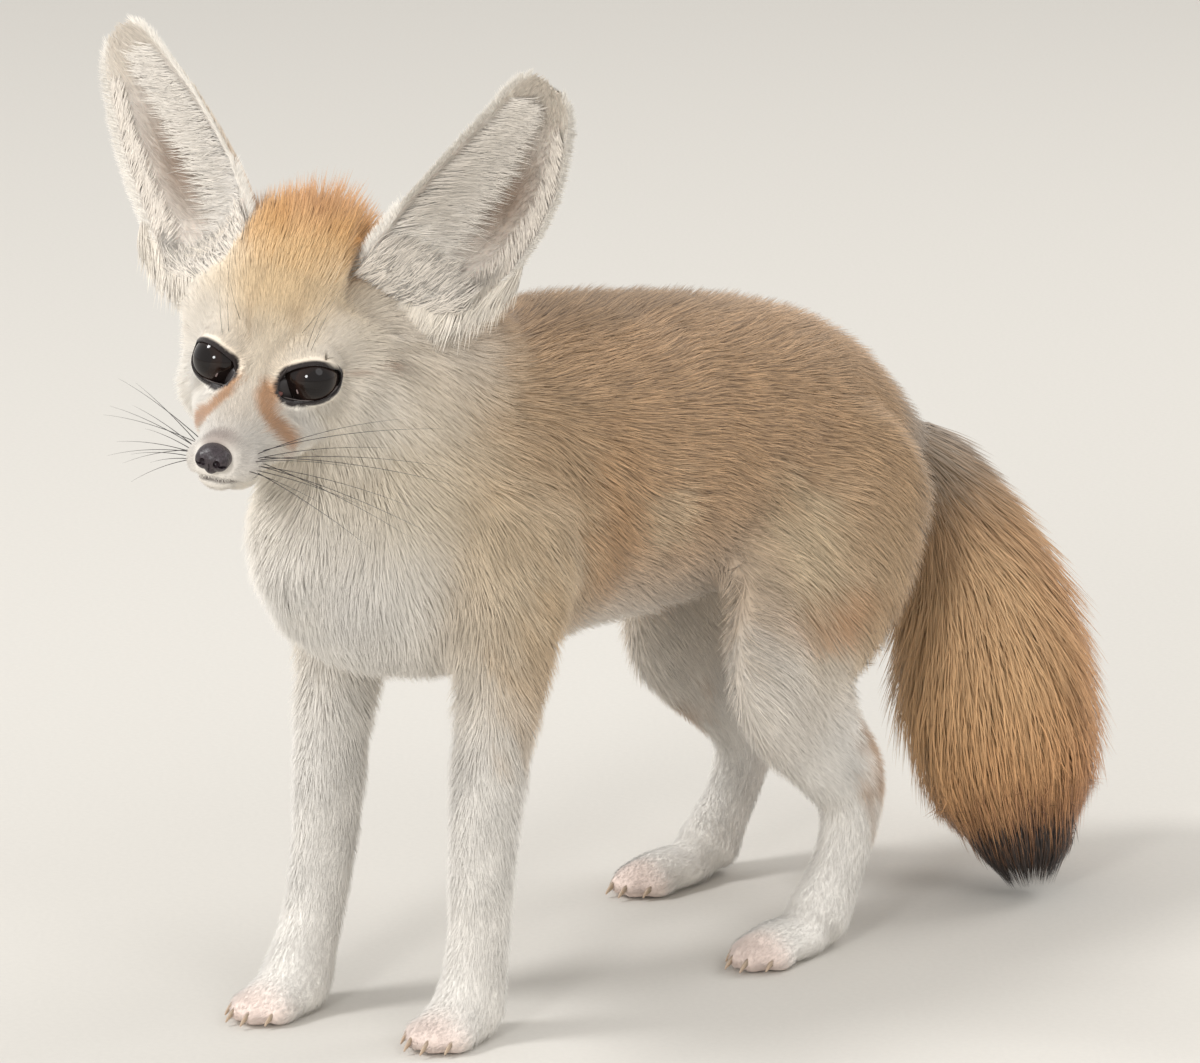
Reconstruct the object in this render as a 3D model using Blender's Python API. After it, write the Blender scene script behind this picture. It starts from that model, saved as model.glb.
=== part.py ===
# A fennec fox at life size, standing on four feet with its head turned a little to its left.
# The fox faces -Y, its left side is +X and it stands on Z = 0. Tables are in millimetres,
# measured to the outside of the coat, and loft() turns them to metres.

import math
import random

import bmesh
import bpy
import numpy as np
from mathutils import Matrix, Vector
from mathutils.bvhtree import BVHTree

MM = 0.001

# The gap left between neighbouring nodes, and how far a node is first cut past its final faces.
GAP = 0.3
SPARE = 2.0

# The grid that fuses the lofts, coarse for the trunk and fine for the head, and its smoothing.
BODY_VOXEL = 2.4
HEAD_VOXEL = 1.5
SMOOTHING = 5

# Trunk, from the breast to the rump: x, y, z, half width, half height.
TRUNK = (
    (0, -173, 165, 20, 26),
    (0, -158, 163, 35, 44),
    (0, -132, 164, 44, 55),
    (0, -100, 166, 46, 59),
    (0, -60, 168, 46, 57),
    (0, -15, 166, 44, 54),
    (0, 30, 163, 42, 48),
    (0, 62, 159, 37, 43),
    (0, 90, 155, 28, 34),
    (0, 110, 152, 16, 20),
)

# Neck, from inside the shoulders to inside the back of the head.
NECK = (
    (0, -95, 182, 34, 38),
    (0, -120, 194, 38, 44),
    (-1, -142, 205, 37, 43),
    (-3, -160, 216, 33, 38),
    (-5, -172, 222, 26, 30),
)

# Legs: x, y, z, half width across the body, half depth along it.
FORELEG_LEFT = (
    (33, -112, 168, 18, 32),
    (34, -114, 140, 18, 27),
    (34.5, -117, 114, 15, 18.5),
    (34, -121, 92, 13, 15),
    (34, -124, 70, 11.5, 13.5),
    (34, -126, 50, 10.8, 11.8),
    (34, -127, 34, 10.4, 10.8),
    (34, -129, 20, 10.8, 11.2),
    (34, -132, 9, 12, 13),
)
FORELEG_RIGHT = (
    (-32, -116, 168, 18, 32),
    (-31, -120, 140, 18, 27),
    (-30, -124, 114, 15, 18.5),
    (-29.5, -129, 92, 13, 15),
    (-29, -132, 70, 11.5, 13.5),
    (-28.5, -135, 50, 10.8, 11.8),
    (-28, -139, 34, 10.4, 10.8),
    (-27.5, -144, 20, 10.8, 11.2),
    (-27, -149, 9, 12, 13),
)
HINDLEG_LEFT = (
    (26, 62, 158, 20, 40),
    (34, 40, 132, 20, 42),
    (40, 14, 106, 17, 37),
    (43, 9, 88, 14, 28),
    (45, 20, 70, 11.5, 20),
    (46, 33, 54, 10.5, 16),
    (46.5, 34, 42, 9.5, 13),
    (47, 27, 24, 9, 10.5),
    (48, 16, 10, 11, 13),
)
HINDLEG_RIGHT = (
    (-26, 66, 158, 20, 40),
    (-32, 58, 132, 20, 42),
    (-36, 44, 106, 17, 35),
    (-37, 42, 88, 14, 27),
    (-37, 56, 70, 11.5, 19),
    (-36.5, 70, 54, 10.5, 15.5),
    (-36, 72, 42, 9.5, 13),
    (-36, 64, 24, 9, 10.5),
    (-36, 53, 10, 11, 13),
)

# Paws: centre on the floor, heading from straight ahead towards the fox's left, length and width.
PAWS = {
    "foreleg_left": ((34.5, -137), 6, 37, 27),
    "foreleg_right": ((-26, -155), 2, 38, 27),
    "hindleg_left": ((49, 0), 2, 48, 26),
    "hindleg_right": ((-36, 34), -4, 46, 26),
}
PAW_HEIGHT = 15
PAW_BALL = (0.46, 0.44, 0.55)
PAW_BALL_UP = 0.38
TOE_RADIUS = 5.2
TOE_BALL = (1.5, 0.8, 1.0)
TOE_UP = 0.72

# Each leg parts from the trunk on a plane: height, and slope towards the tail.
LEG_PARTINGS = {
    "foreleg_left": (104, 0.0),
    "foreleg_right": (104, 0.0),
    "hindleg_left": (108, 0.12),
    "hindleg_right": (108, 0.12),
}

# Head. Its own axes start midway between the eyes: forward along the muzzle, left, and up.
HEAD_AT = Vector((10, -195, 219))
HEAD_YAW = 29.5
HEAD_PITCH = 3
HEAD_ROLL = -8.8

# Skull and muzzle from the nose backwards: forward, up, half width, half height.
SKULL = (
    (40, -18, 5, 5.8),
    (37, -18.6, 8, 8.4),
    (29, -18.6, 9.6, 9.8),
    (20, -17.8, 12, 11.8),
    (12, -16.2, 15, 13.8),
    (6, -13.8, 18.5, 16.3),
    (0, -10, 22.5, 20),
    (-8, -3.5, 27.5, 25.5),
    (-16, 1.5, 32, 30.5),
    (-26, 6, 36, 35),
    (-40, 10, 37, 37),
    (-54, 10, 31, 32),
    (-63, 8, 18, 20),
)

# Cheeks and the bosses that carry the ears: centre and radii in the head's axes, left side.
CHEEK = ((-28, 17, -13), (24, 17, 18))
WHISKER_PAD = ((29, 6.5, -20), (8.5, 5.2, 6))
BROW = ((-6, 13, 6.5), (9.5, 9, 5.5))
EAR_BOSS = ((-31, 25, 16), (18, 18, 19))

# Eyes: centre in the head's axes, radius, and how far they look outwards and up.
EYE_AT = (-5.6, 13.8, 0)
EYE_RADIUS = 9
EYE_OUT = 33
EYE_UP = 6
LID_SLANT = 20
LID_ROUND = 1.1

# Nose pad and its nostrils, in the head's axes.
NOSE_AT = (40.3, 0, -16.4)
NOSE_SIZE = (4.6, 5.6, 4.4)
NOSE_BACK = 39.6
NOSTRIL_AT = (44.4, 2.7, -16.8)
NOSTRIL_SIZE = (2.6, 1.15, 1.0)
NOSTRIL_AIM = (0.75, 0.66)
NOSE_BLOCK = (40, 60, 60)

# The line of the mouth on the left side: forward and up, from the lip under the nose.
MOUTH = ((37.5, -24.2), (34, -25.4), (26, -26.4), (17, -26.2), (9, -24.6), (4, -22.4))
MOUTH_GROOVE = 0.8
LIP_ROUND = 1.3
BESIDE_HEAD = 60

# Ears: length, thickness of the edge, and the middle of the root in the head's axes. Each ear leans
# outwards and back, its cup is turned outwards, and its leaf sways outwards more or less.
EAR_LENGTH = 90.5
EAR_THICK = 2.6
EAR_BASE = (-31, 27, 17)
EARS = {
    "ear_left": {"side": 1, "out": 27.6, "back": -2.5, "turn": 16, "sway": 1.6},
    "ear_right": {"side": -1, "out": 35.6, "back": 37, "turn": 15, "sway": 0.5},
}

# Tail: x, y, z and radius of the brush out to the tips of the hair.
TAIL = (
    (0, 100, 156, 15),
    (3, 113, 146, 18),
    (9, 122, 128, 25),
    (18, 127, 104, 34),
    (28, 125, 80, 40),
    (38, 120, 58, 41),
    (48, 115, 38, 34),
    (56, 112, 20, 19),
    (60, 111, 6, 5),
)
TAIL_PARTING = 0.09
TAIL_CORE = 0.47
TAIL_STEPS = 6
TAIL_NEARBY = 3

# Where neighbouring nodes part: points and the direction that the second one lies in.
NECK_PARTING_AT = (0, -125, 190)
NECK_PARTING_OUT = (0, -0.8, 0.6)
HEAD_PARTING_AT = (-31, 0, -40)
HEAD_PARTING_UP = (-0.47, 0.88)
HEAD_DEEP = 200
LEG_AHEAD = 30
LEG_REACH = 90
LEG_LONG = 150
LEG_DEEP = 130
FLOOR_DEEP = 60
FLOOR_WIDE = 900
TAIL_CUT = 90
CUTTER_SIZE = 260

# Shape of a loft's domed ends, and the direction that a loft calls its width.
DOME_LENGTH = 0.6
DOME_SHARES = (0.6, 0.9)
ACROSS = Vector((1, 0, 0))

LEGS = {
    "foreleg_left": FORELEG_LEFT,
    "foreleg_right": FORELEG_RIGHT,
    "hindleg_left": HINDLEG_LEFT,
    "hindleg_right": HINDLEG_RIGHT,
}

# Toes of a paw: across and ahead, as shares of its width and length.
TOES = ((-0.33, 0.24), (-0.12, 0.38), (0.12, 0.38), (0.33, 0.24))

# Slit between the lids, from the eye's axis: outwards, inwards, up and down.
SLIT_OUTER = 9.8
SLIT_INNER = 11.6
SLIT_UP = 6.2
SLIT_DOWN = 6.8
SLIT_POINTED = 1.15
SLIT_DEPTH = 0.5
LID_LOW = 0.4
LID_THICK = 1.5
DENT_LONG = 1.25
DENT_FULL = 8.8
DENT_END = 14.5

# Front of the muzzle behind the nose pad, the lips beside the mouth line, and the nose's groove.
MUZZLE_FRONT = 39.4
LIP_APART = 1.3
TUBE_END = 0.35
GROOVE = (3, 0.6, 7)

# Ear along its length: share, half width, depth of cup, filling of the cup, outward lean.
EAR_SHAPE = (
    (0.00, 14.0, 12.0, 24, 0.0),
    (0.10, 16.5, 13.5, 14, 1.4),
    (0.20, 19.0, 14.0, 4, 3.0),
    (0.36, 20.3, 13.0, 0, 4.2),
    (0.52, 19.4, 11.0, 0, 4.4),
    (0.67, 17.4, 8.5, 0, 4.0),
    (0.81, 13.9, 5.5, 0, 2.8),
    (0.91, 10.4, 3.2, 0, 1.5),
    (0.97, 7.4, 1.8, 0, 0.6),
    (1.00, 4.8, 1.1, 0, 0.0),
)
EAR_ROWS = 13
EAR_COLUMNS = 7
EAR_RIM = 0.8

# Claws: length, how far the tip stands off the toe and the floor, and share, drop and radius along it.
CLAW_LENGTH = 8.5
CLAW_AHEAD = 9.6
CLAW_TIP_UP = 1.4
CLAW_SHAPE = ((0, 3.6, 1.5), (0.55, 2.7, 1.2), (1, 0, 0.35))
CLAW_SIDES = 5
CLAW_FLAT = 0.7

TAIL_ROOT = 0.8
TAIL_ROOT_END = 0.24
TAIL_RINGS = 11
TAIL_SIDES = 10

# Locks: share of the length, of the width and of the thickness at each ring of one.
LOCK_RINGS = ((0.0, 0.36, 0.9), (0.36, 1.0, 0.9), (0.7, 0.66, 0.5))
LOCK_SINK = 3.0
LOCK_HUG = 0.75
LOCK_CLEAR = (0.27, 0.1, 0.0)

# Brush of the tail: tiers of locks as share along the tail, locks round it, share that each covers.
BRUSH = (
    (0.10, 8, 0.26),
    (0.18, 9, 0.30),
    (0.27, 10, 0.32),
    (0.36, 11, 0.33),
    (0.46, 11, 0.33),
    (0.56, 10, 0.33),
    (0.66, 8, 0.30),
    (0.76, 6, 0.23),
)
BRUSH_ROOT = -0.3
BRUSH_RISE = (0.56, 0.88)
BRUSH_WIDE = 0.92
BRUSH_THICK = 5.0
BRUSH_FULL = 30
BRUSH_SHIFT = 0.12
BRUSH_SWING = 0.1

# Ruff behind the cheek, in the head's axes: forward place and length of each tier, and its arc in
# degrees above and below level. A lock lies back, out and down.
RUFF_TIERS = ((-14, 28), (-27, 26))
RUFF_ARC = (4, -74)
RUFF_COUNT = 4
RUFF_WIDE = 15
RUFF_THICK = 3.8
RUFF_LIE = (-0.8, 0.1, -0.5)
RUFF_HUG = 0.3
RUFF_REACH = 45

# Locks down the throat and breast, along the belly, at the elbow, on the rump and behind the thigh:
# the first and last spot of each row, how many, the lie, and length, width and thickness.
ROWS = {
    "neck": (
        ((-18, -200, 184), (22, -200, 184), 3, (0, 0, -1), (29, 17, 3.8)),
        ((-28, -200, 166), (30, -200, 166), 4, (0, 0, -1), (29, 17, 3.8)),
        ((-18, -200, 148), (20, -200, 148), 3, (0, 0, -1), (27, 17, 3.8)),
    ),
    "torso": (
        ((40, -76, 116), (38, -34, 118), 3, (0, 0.9, -0.8), (26, 17, 3.4)),
        ((-40, -76, 116), (-38, -24, 118), 3, (0, 0.9, -0.8), (26, 17, 3.4)),
        ((40, 110, 150), (52, 96, 120), 4, (0.1, 0.2, -1), (31, 15, 3.8)),
        ((-40, 112, 150), (-50, 104, 120), 4, (-0.1, 0.2, -1), (31, 15, 3.8)),
        ((24, 118, 146), (34, 104, 122), 3, (0.1, 0.2, -1), (31, 15, 3.8)),
        ((-24, 118, 146), (-34, 112, 122), 3, (-0.1, 0.2, -1), (31, 15, 3.8)),
    ),
}
LOCK_BED = 0.25
LOCK_LIFT = 2.4
LOCK_VARY = 0.14
SEED = 11

# How many triangles a node may have before the details are added.
TRIANGLES = {"torso": 900, "neck": 400, "leg": 340, "head": 1100}

COLOURS = {
    "buff": (0.62, 0.44, 0.28, 1),
    "cream": (0.84, 0.78, 0.68, 1),
    "white": (0.88, 0.86, 0.82, 1),
    "rust": (0.66, 0.40, 0.20, 1),
    "eye": (0.03, 0.018, 0.014, 1),
    "nose": (0.09, 0.06, 0.06, 1),
    "claw": (0.62, 0.52, 0.45, 1),
}


def clear_scene():
    for obj in list(bpy.data.objects):
        bpy.data.objects.remove(obj)


def paint(obj, colour, roughness=0.85):
    """Give the object its own material."""
    material = bpy.data.materials.new(obj.name)
    material.use_nodes = True
    shader = material.node_tree.nodes["Principled BSDF"]
    shader.inputs["Base Color"].default_value = COLOURS[colour]
    shader.inputs["Roughness"].default_value = roughness
    obj.data.materials.clear()
    obj.data.materials.append(material)


def new_object(name, verts, faces):
    """An object from points in millimetres, with its faces pointing out."""
    mesh = bpy.data.meshes.new(name)
    mesh.from_pydata([Vector(v) * MM for v in verts], [], faces)
    bm = bmesh.new()
    bm.from_mesh(mesh)
    bmesh.ops.recalc_face_normals(bm, faces=bm.faces)
    bm.to_mesh(mesh)
    bm.free()
    obj = bpy.data.objects.new(name, mesh)
    bpy.context.scene.collection.objects.link(obj)
    return obj


def smooth_rows(rows, steps):
    """Rows of numbers along a Catmull-Rom curve, with steps rows for each stretch."""
    rows = np.array(rows, float)
    padded = np.vstack([2 * rows[0] - rows[1], rows, 2 * rows[-1] - rows[-2]])
    found = []
    for i in range(1, len(padded) - 2):
        a, b, c, d = padded[i - 1 : i + 3]
        for k in range(steps):
            t = k / steps
            found.append(
                0.5 * (2 * b + (c - a) * t + (2 * a - 5 * b + 4 * c - d) * t**2
                       + (3 * b - a - 3 * c + d) * t**3)
            )
    found.append(rows[-1])
    return np.array(found)


def loft(name, stations, sides=20, steps=3, across=ACROSS, along=None):
    """A closed tube through stations of x, y, z, half width and half height, with domed ends.

    Its rings are square to its path, or to along where that is given.
    """
    rows = smooth_rows(stations, steps)
    points = [Vector(r[:3]) for r in rows]
    last = len(points) - 1
    tangents = [(points[min(i + 1, last)] - points[max(i - 1, 0)]).normalized() for i in range(last + 1)]
    if along:
        tangents = [along] * len(points)
    rings = [(p, t, r[3], r[4]) for p, t, r in zip(points, tangents, rows)]

    def dome(point, tangent, row, way):
        out = tangent * way * min(row[3], row[4]) * DOME_LENGTH
        for share in DOME_SHARES:
            size = math.sqrt(1 - share**2)
            yield point + out * share, tangent, row[3] * size, row[4] * size

    start = list(dome(points[0], tangents[0], rows[0], -1))
    end = list(dome(points[-1], tangents[-1], rows[-1], 1))
    verts = []
    for centre, tangent, half_wide, half_high in start[::-1] + rings + end:
        wide = (across - tangent * across.dot(tangent)).normalized()
        high = tangent.cross(wide)
        for k in range(sides):
            angle = 2 * math.pi * k / sides
            verts.append(centre + wide * half_wide * math.cos(angle) + high * half_high * math.sin(angle))
    return new_object(name, verts, tube_faces(len(verts) // sides, sides))


def tube_faces(rings, sides):
    """Faces of a tube whose rings follow one another, with both ends capped."""
    faces = []
    for r in range(rings - 1):
        for k in range(sides):
            n = (k + 1) % sides
            faces.append((r * sides + k, r * sides + n, (r + 1) * sides + n, (r + 1) * sides + k))
    faces.append(tuple(range(sides)))
    faces.append(tuple((rings - 1) * sides + k for k in range(sides)))
    return faces


def ball(name, centre, radii, axes=None, subdivisions=3):
    """An ellipsoid at centre, with its radii along the three axes given."""
    axes = axes or (Vector((1, 0, 0)), Vector((0, 1, 0)), Vector((0, 0, 1)))
    bm = bmesh.new()
    bmesh.ops.create_icosphere(bm, subdivisions=subdivisions, radius=1)
    verts = [
        Vector(centre) + sum((a * r * c for a, r, c in zip(axes, radii, v.co)), Vector())
        for v in bm.verts
    ]
    faces = [[v.index for v in f.verts] for f in bm.faces]
    bm.free()
    return new_object(name, verts, faces)


def block(centre, size, axes, grow=0.0):
    """A cutter: a box of that size about centre, grown on every side."""
    half = [s / 2 + grow for s in size]
    corners = [
        Vector(centre) + axes[0] * half[0] * i + axes[1] * half[1] * j + axes[2] * half[2] * k
        for i in (-1, 1) for j in (-1, 1) for k in (-1, 1)
    ]
    faces = [(0, 1, 3, 2), (4, 6, 7, 5), (0, 4, 5, 1), (2, 3, 7, 6), (0, 2, 6, 4), (1, 5, 7, 3)]
    return new_object("cutter", corners, faces)


def side_of(point, normal, size=CUTTER_SIZE):
    """What block() needs for the space on the far side of a plane."""
    normal = normal.normalized()
    wide = normal.orthogonal().normalized()
    centre = Vector(point) + normal * size / 2
    return centre, (size, size, size), (wide, normal.cross(wide), normal)


def apply_modifiers(obj):
    graph = bpy.context.evaluated_depsgraph_get()
    graph.update()
    mesh = bpy.data.meshes.new_from_object(obj.evaluated_get(graph))
    obj.modifiers.clear()
    obj.data = mesh
    return obj


def fuse(name, pieces, voxel):
    """One smooth closed body from overlapping closed pieces."""
    bm = bmesh.new()
    for piece in pieces:
        bm.from_mesh(piece.data)
        bpy.data.objects.remove(piece)
    mesh = bpy.data.meshes.new(name)
    bm.to_mesh(mesh)
    bm.free()
    obj = bpy.data.objects.new(name, mesh)
    bpy.context.scene.collection.objects.link(obj)
    remesh = obj.modifiers.new("fuse", "REMESH")
    remesh.mode = "VOXEL"
    remesh.voxel_size = voxel * MM
    smooth = obj.modifiers.new("smooth", "SMOOTH")
    smooth.factor = 0.5
    smooth.iterations = SMOOTHING
    return apply_modifiers(obj)


def combine(obj, others, operation):
    """A Boolean of the object with a collection of closed meshes, which are then removed.

    The exact solver takes minutes on the crossing locks, so the manifold one is used.
    """
    group = bpy.data.collections.new("operands")
    bpy.context.scene.collection.children.link(group)
    for other in others:
        group.objects.link(other)
    boolean = obj.modifiers.new(operation, "BOOLEAN")
    boolean.operation = operation
    boolean.solver = "MANIFOLD"
    boolean.operand_type = "COLLECTION"
    boolean.collection = group
    apply_modifiers(obj)
    for other in others:
        bpy.data.objects.remove(other)
    bpy.data.collections.remove(group)
    return obj


def largest_body(obj):
    """Keep only the largest closed surface of the object."""
    bm = bmesh.new()
    bm.from_mesh(obj.data)
    bmesh.ops.triangulate(bm, faces=bm.faces)
    left, bodies = set(bm.verts), []
    while left:
        found, edge = set(), [left.pop()]
        while edge:
            vert = edge.pop()
            found.add(vert)
            for e in vert.link_edges:
                other = e.other_vert(vert)
                if other in left:
                    left.discard(other)
                    edge.append(other)
        bodies.append(found)
    bodies.sort(key=len)
    bmesh.ops.delete(bm, geom=[v for body in bodies[:-1] for v in body], context="VERTS")
    bm.to_mesh(obj.data)
    bm.free()
    return obj


def node_from(mass, name, keep, remove, triangles):
    """A node cut out of a mass: what lies in every kept block and in no removed one."""
    obj = bpy.data.objects.new(name, mass.data.copy())
    bpy.context.scene.collection.objects.link(obj)
    for grow_kept, grow_removed in ((SPARE, -SPARE), (-GAP / 2, GAP / 2)):
        for place in keep:
            combine(obj, [block(*place, grow=grow_kept)], "INTERSECT")
        if remove:
            combine(obj, [block(*place, grow=grow_removed) for place in remove], "DIFFERENCE")
        if grow_kept > 0:
            largest_body(obj)
            decimate = obj.modifiers.new("decimate", "DECIMATE")
            decimate.ratio = min(1.0, triangles / len(obj.data.polygons))
            apply_modifiers(obj)
    return largest_body(obj)


def head_axes():
    """Forward, left and up of the turned head."""
    forward, left, up = Vector((0, -1, 0)), Vector((1, 0, 0)), Vector((0, 0, 1))
    yaw = Matrix.Rotation(math.radians(HEAD_YAW), 3, up)
    forward, left = yaw @ forward, yaw @ left
    pitch = Matrix.Rotation(math.radians(HEAD_PITCH), 3, left)
    forward, up = pitch @ forward, pitch @ up
    roll = Matrix.Rotation(math.radians(HEAD_ROLL), 3, forward)
    return forward, roll @ left, roll @ up


FORWARD, LEFT, UP = head_axes()


def on_head(forward, left, up):
    """A point of the head's own axes, in the fox's."""
    return HEAD_AT + FORWARD * forward + LEFT * left + UP * up


def paw(name):
    """The paw's ball with its four toes."""
    (x, y), heading, length, width = PAWS[name]
    turn = math.radians(heading)
    ahead = Vector((math.sin(turn), -math.cos(turn), 0))
    aside = Vector((math.cos(turn), math.sin(turn), 0))
    up = Vector((0, 0, 1))
    centre = Vector((x, y, PAW_HEIGHT * PAW_BALL_UP))
    sizes = [size * share for size, share in zip((length, width, PAW_HEIGHT), PAW_BALL)]
    pieces = [ball("ball", centre, sizes, (ahead, aside, up))]
    for place, out in TOES:
        at = centre + ahead * length * out + aside * width * place
        at.z = TOE_RADIUS * TOE_UP
        pieces.append(ball("toe", at, [TOE_RADIUS * share for share in TOE_BALL], (ahead, aside, up)))
    return pieces


def leg_place(name):
    """The block that holds the leg, from the floor to the plane where it parts from the trunk."""
    height, slope = LEG_PARTINGS[name]
    middle = PAWS[name][0][1] + LEG_AHEAD
    side = 1 if name.endswith("left") else -1
    tilt = math.atan(slope)
    along = Vector((0, math.cos(tilt), math.sin(tilt)))
    normal = Vector((0, -math.sin(tilt), math.cos(tilt)))
    top = Vector((side * LEG_REACH / 2, middle, height))
    return top - normal * LEG_DEEP / 2, (LEG_REACH, LEG_LONG, LEG_DEEP), (Vector((1, 0, 0)), along, normal)


def floor_place():
    """What block() needs for the ground, which the soles are cut level with."""
    centre = Vector((0, 0, -FLOOR_DEEP / 2 - GAP / 2))
    axes = (Vector((1, 0, 0)), Vector((0, 1, 0)), Vector((0, 0, 1)))
    return centre, (FLOOR_WIDE, FLOOR_WIDE, FLOOR_DEEP), axes


def tail_frame(t):
    """Point, tangent, two side axes and brush radius at share t of the tail, run on past its end."""
    rows = smooth_rows(TAIL, TAIL_STEPS)
    lengths = np.concatenate([[0], np.cumsum(np.linalg.norm(np.diff(rows[:, :3], axis=0), axis=1))])
    wanted = min(max(t, 0.0), 1.0) * lengths[-1]

    def row_at(length):
        return np.array([np.interp(length, lengths, rows[:, c]) for c in range(4)])

    row = row_at(wanted)
    tangent = Vector((row_at(wanted + TAIL_NEARBY) - row_at(wanted - TAIL_NEARBY))[:3]).normalized()
    wide = (ACROSS - tangent * ACROSS.dot(tangent)).normalized()
    point = Vector(row[:3]) + tangent * max(t - 1.0, 0.0) * lengths[-1]
    return point, tangent, wide, tangent.cross(wide), row[3], lengths[-1]


def tail_parting():
    point, tangent, _, _, _, _ = tail_frame(TAIL_PARTING)
    return side_of(point, tangent, TAIL_CUT)


def neck_parting():
    """The plane from the withers down to the breast; the neck lies beyond it."""
    return side_of(NECK_PARTING_AT, Vector(NECK_PARTING_OUT))


def head_parting():
    """The head lies in front of a plane behind the jaw and the nape, and above the throat."""
    up = (FORWARD * HEAD_PARTING_UP[0] + UP * HEAD_PARTING_UP[1]).normalized()
    centre = on_head(*HEAD_PARTING_AT) + (up + FORWARD) * HEAD_DEEP / 2
    return centre, (HEAD_DEEP, HEAD_DEEP, HEAD_DEEP), (LEFT, up, FORWARD)


def make_body():
    """Trunk, neck and legs, parted from one fused body."""
    pieces = [loft("trunk", TRUNK, sides=28), loft("neck", NECK, sides=24)]
    pieces.append(skull())
    for name in LEGS:
        pieces += [loft(name, LEGS[name], sides=16), *paw(name)]
    root = [(*row[:3], row[3] * TAIL_ROOT, row[3] * TAIL_ROOT) for row in TAIL[:4]]
    pieces.append(loft("root", root, sides=16))
    mass = fuse("body", pieces, BODY_VOXEL)
    legs = {name: leg_place(name) for name in LEGS}
    beyond_head, beyond_neck = head_parting(), neck_parting()
    trunk = node_from(mass, "torso", [], [beyond_neck, tail_parting(), *legs.values()], TRIANGLES["torso"])
    paint(trunk, "buff")
    neck = node_from(mass, "neck", [beyond_neck], [beyond_head, *legs.values()], TRIANGLES["neck"])
    paint(neck, "cream")
    for name, place in legs.items():
        leg = node_from(mass, name, [place], [floor_place()], TRIANGLES["leg"])
        paint(leg, "white")
    bpy.data.objects.remove(mass)


def eye_axes(side):
    """Where the eye looks, outwards along the slit, and up across it."""
    out, up = math.radians(EYE_OUT), math.radians(EYE_UP)
    gaze = (FORWARD * math.cos(out) + LEFT * side * math.sin(out)) * math.cos(up) + UP * math.sin(up)
    along = (LEFT * side * math.cos(out) - FORWARD * math.sin(out)).normalized()
    across = gaze.cross(along) * side
    slant = math.radians(LID_SLANT)
    slit = along * math.cos(slant) + across * math.sin(slant)
    return gaze, slit, across * math.cos(slant) - along * math.sin(slant)


def eye_centre(side):
    return on_head(EYE_AT[0], EYE_AT[1] * side, EYE_AT[2])


def slit_outline(side, inset=0.0, points=20):
    """Points of the slit between the lids: along and across it, from the eye's axis."""
    found = []
    for k in range(points):
        angle = 2 * math.pi * k / points
        c, s = math.cos(angle), math.sin(angle)
        along = (SLIT_OUTER if c > 0 else SLIT_INNER) * c
        across = (SLIT_UP if s > 0 else SLIT_DOWN) * math.copysign(abs(s) ** SLIT_POINTED, s)
        size = math.hypot(along, across)
        found.append((along * (1 - inset / size), across * (1 - inset / size)))
    return found


def lid_ring(side):
    """The rim of both lids: a closed tube that lies on the eye and runs out to its inner corner."""
    gaze, along, across = eye_axes(side)
    centre = eye_centre(side)
    outline = slit_outline(side)
    spine = []
    for a, b in outline:
        inside = EYE_RADIUS**2 - a**2 - b**2
        rise = math.sqrt(max(inside, (LID_LOW * EYE_RADIUS) ** 2)) + LID_ROUND * 0.5
        spine.append(centre + gaze * rise + along * a + across * b)
    verts, sides, count = [], 5, len(outline)
    for i, point in enumerate(spine):
        tangent = (spine[(i + 1) % count] - spine[i - 1]).normalized()
        outward = (point - centre).normalized()
        wide = tangent.cross(outward).normalized()
        outward = wide.cross(tangent)
        for k in range(sides):
            angle = 2 * math.pi * k / sides
            verts.append(point + (wide * math.cos(angle) + outward * math.sin(angle)) * LID_ROUND)
    faces = []
    for r in range(count):
        n = (r + 1) % count
        for k in range(sides):
            m = (k + 1) % sides
            faces.append((r * sides + k, r * sides + m, n * sides + m, n * sides + k))
    return new_object("lid", verts, faces)


def slit_cutter(side):
    """The opening between the lids, as a straight prism along the gaze."""
    gaze, along, across = eye_axes(side)
    outline = slit_outline(side, inset=LID_ROUND * 0.5)
    verts = [
        eye_centre(side) + gaze * depth + along * a + across * b
        for depth in (EYE_RADIUS * SLIT_DEPTH, EYE_RADIUS * 3) for a, b in outline
    ]
    return new_object("slit", verts, tube_faces(2, len(outline)))


def dent_for_eye(obj, side):
    """Draw the flesh round the eye in until it lies just over the eyeball."""
    gaze, along, across = eye_axes(side)
    centre = eye_centre(side)
    for vert in obj.data.vertices:
        from_eye = vert.co / MM - centre
        if from_eye.dot(gaze) <= 0:
            continue
        aside = math.hypot(from_eye.dot(along) / DENT_LONG, from_eye.dot(across))
        share = 1 - min(max((aside - DENT_FULL) / (DENT_END - DENT_FULL), 0), 1)
        share = share * share * (3 - 2 * share)
        target = centre + from_eye.normalized() * (EYE_RADIUS + LID_THICK)
        vert.co = (vert.co.lerp(target * MM, share))


def tree_of(obj):
    data = obj.data
    return BVHTree.FromPolygons([v.co for v in data.vertices], [p.vertices for p in data.polygons])


def surface_line(tree, line, shift):
    """Points of the mouth line on the left of the head, lifted by shift, back from the lip."""
    found = []
    for forward, up in line:
        start = on_head(forward, BESIDE_HEAD, up + shift) * MM
        hit = tree.ray_cast(start, -LEFT)[0]
        found.append(hit / MM)
    return found


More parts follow.
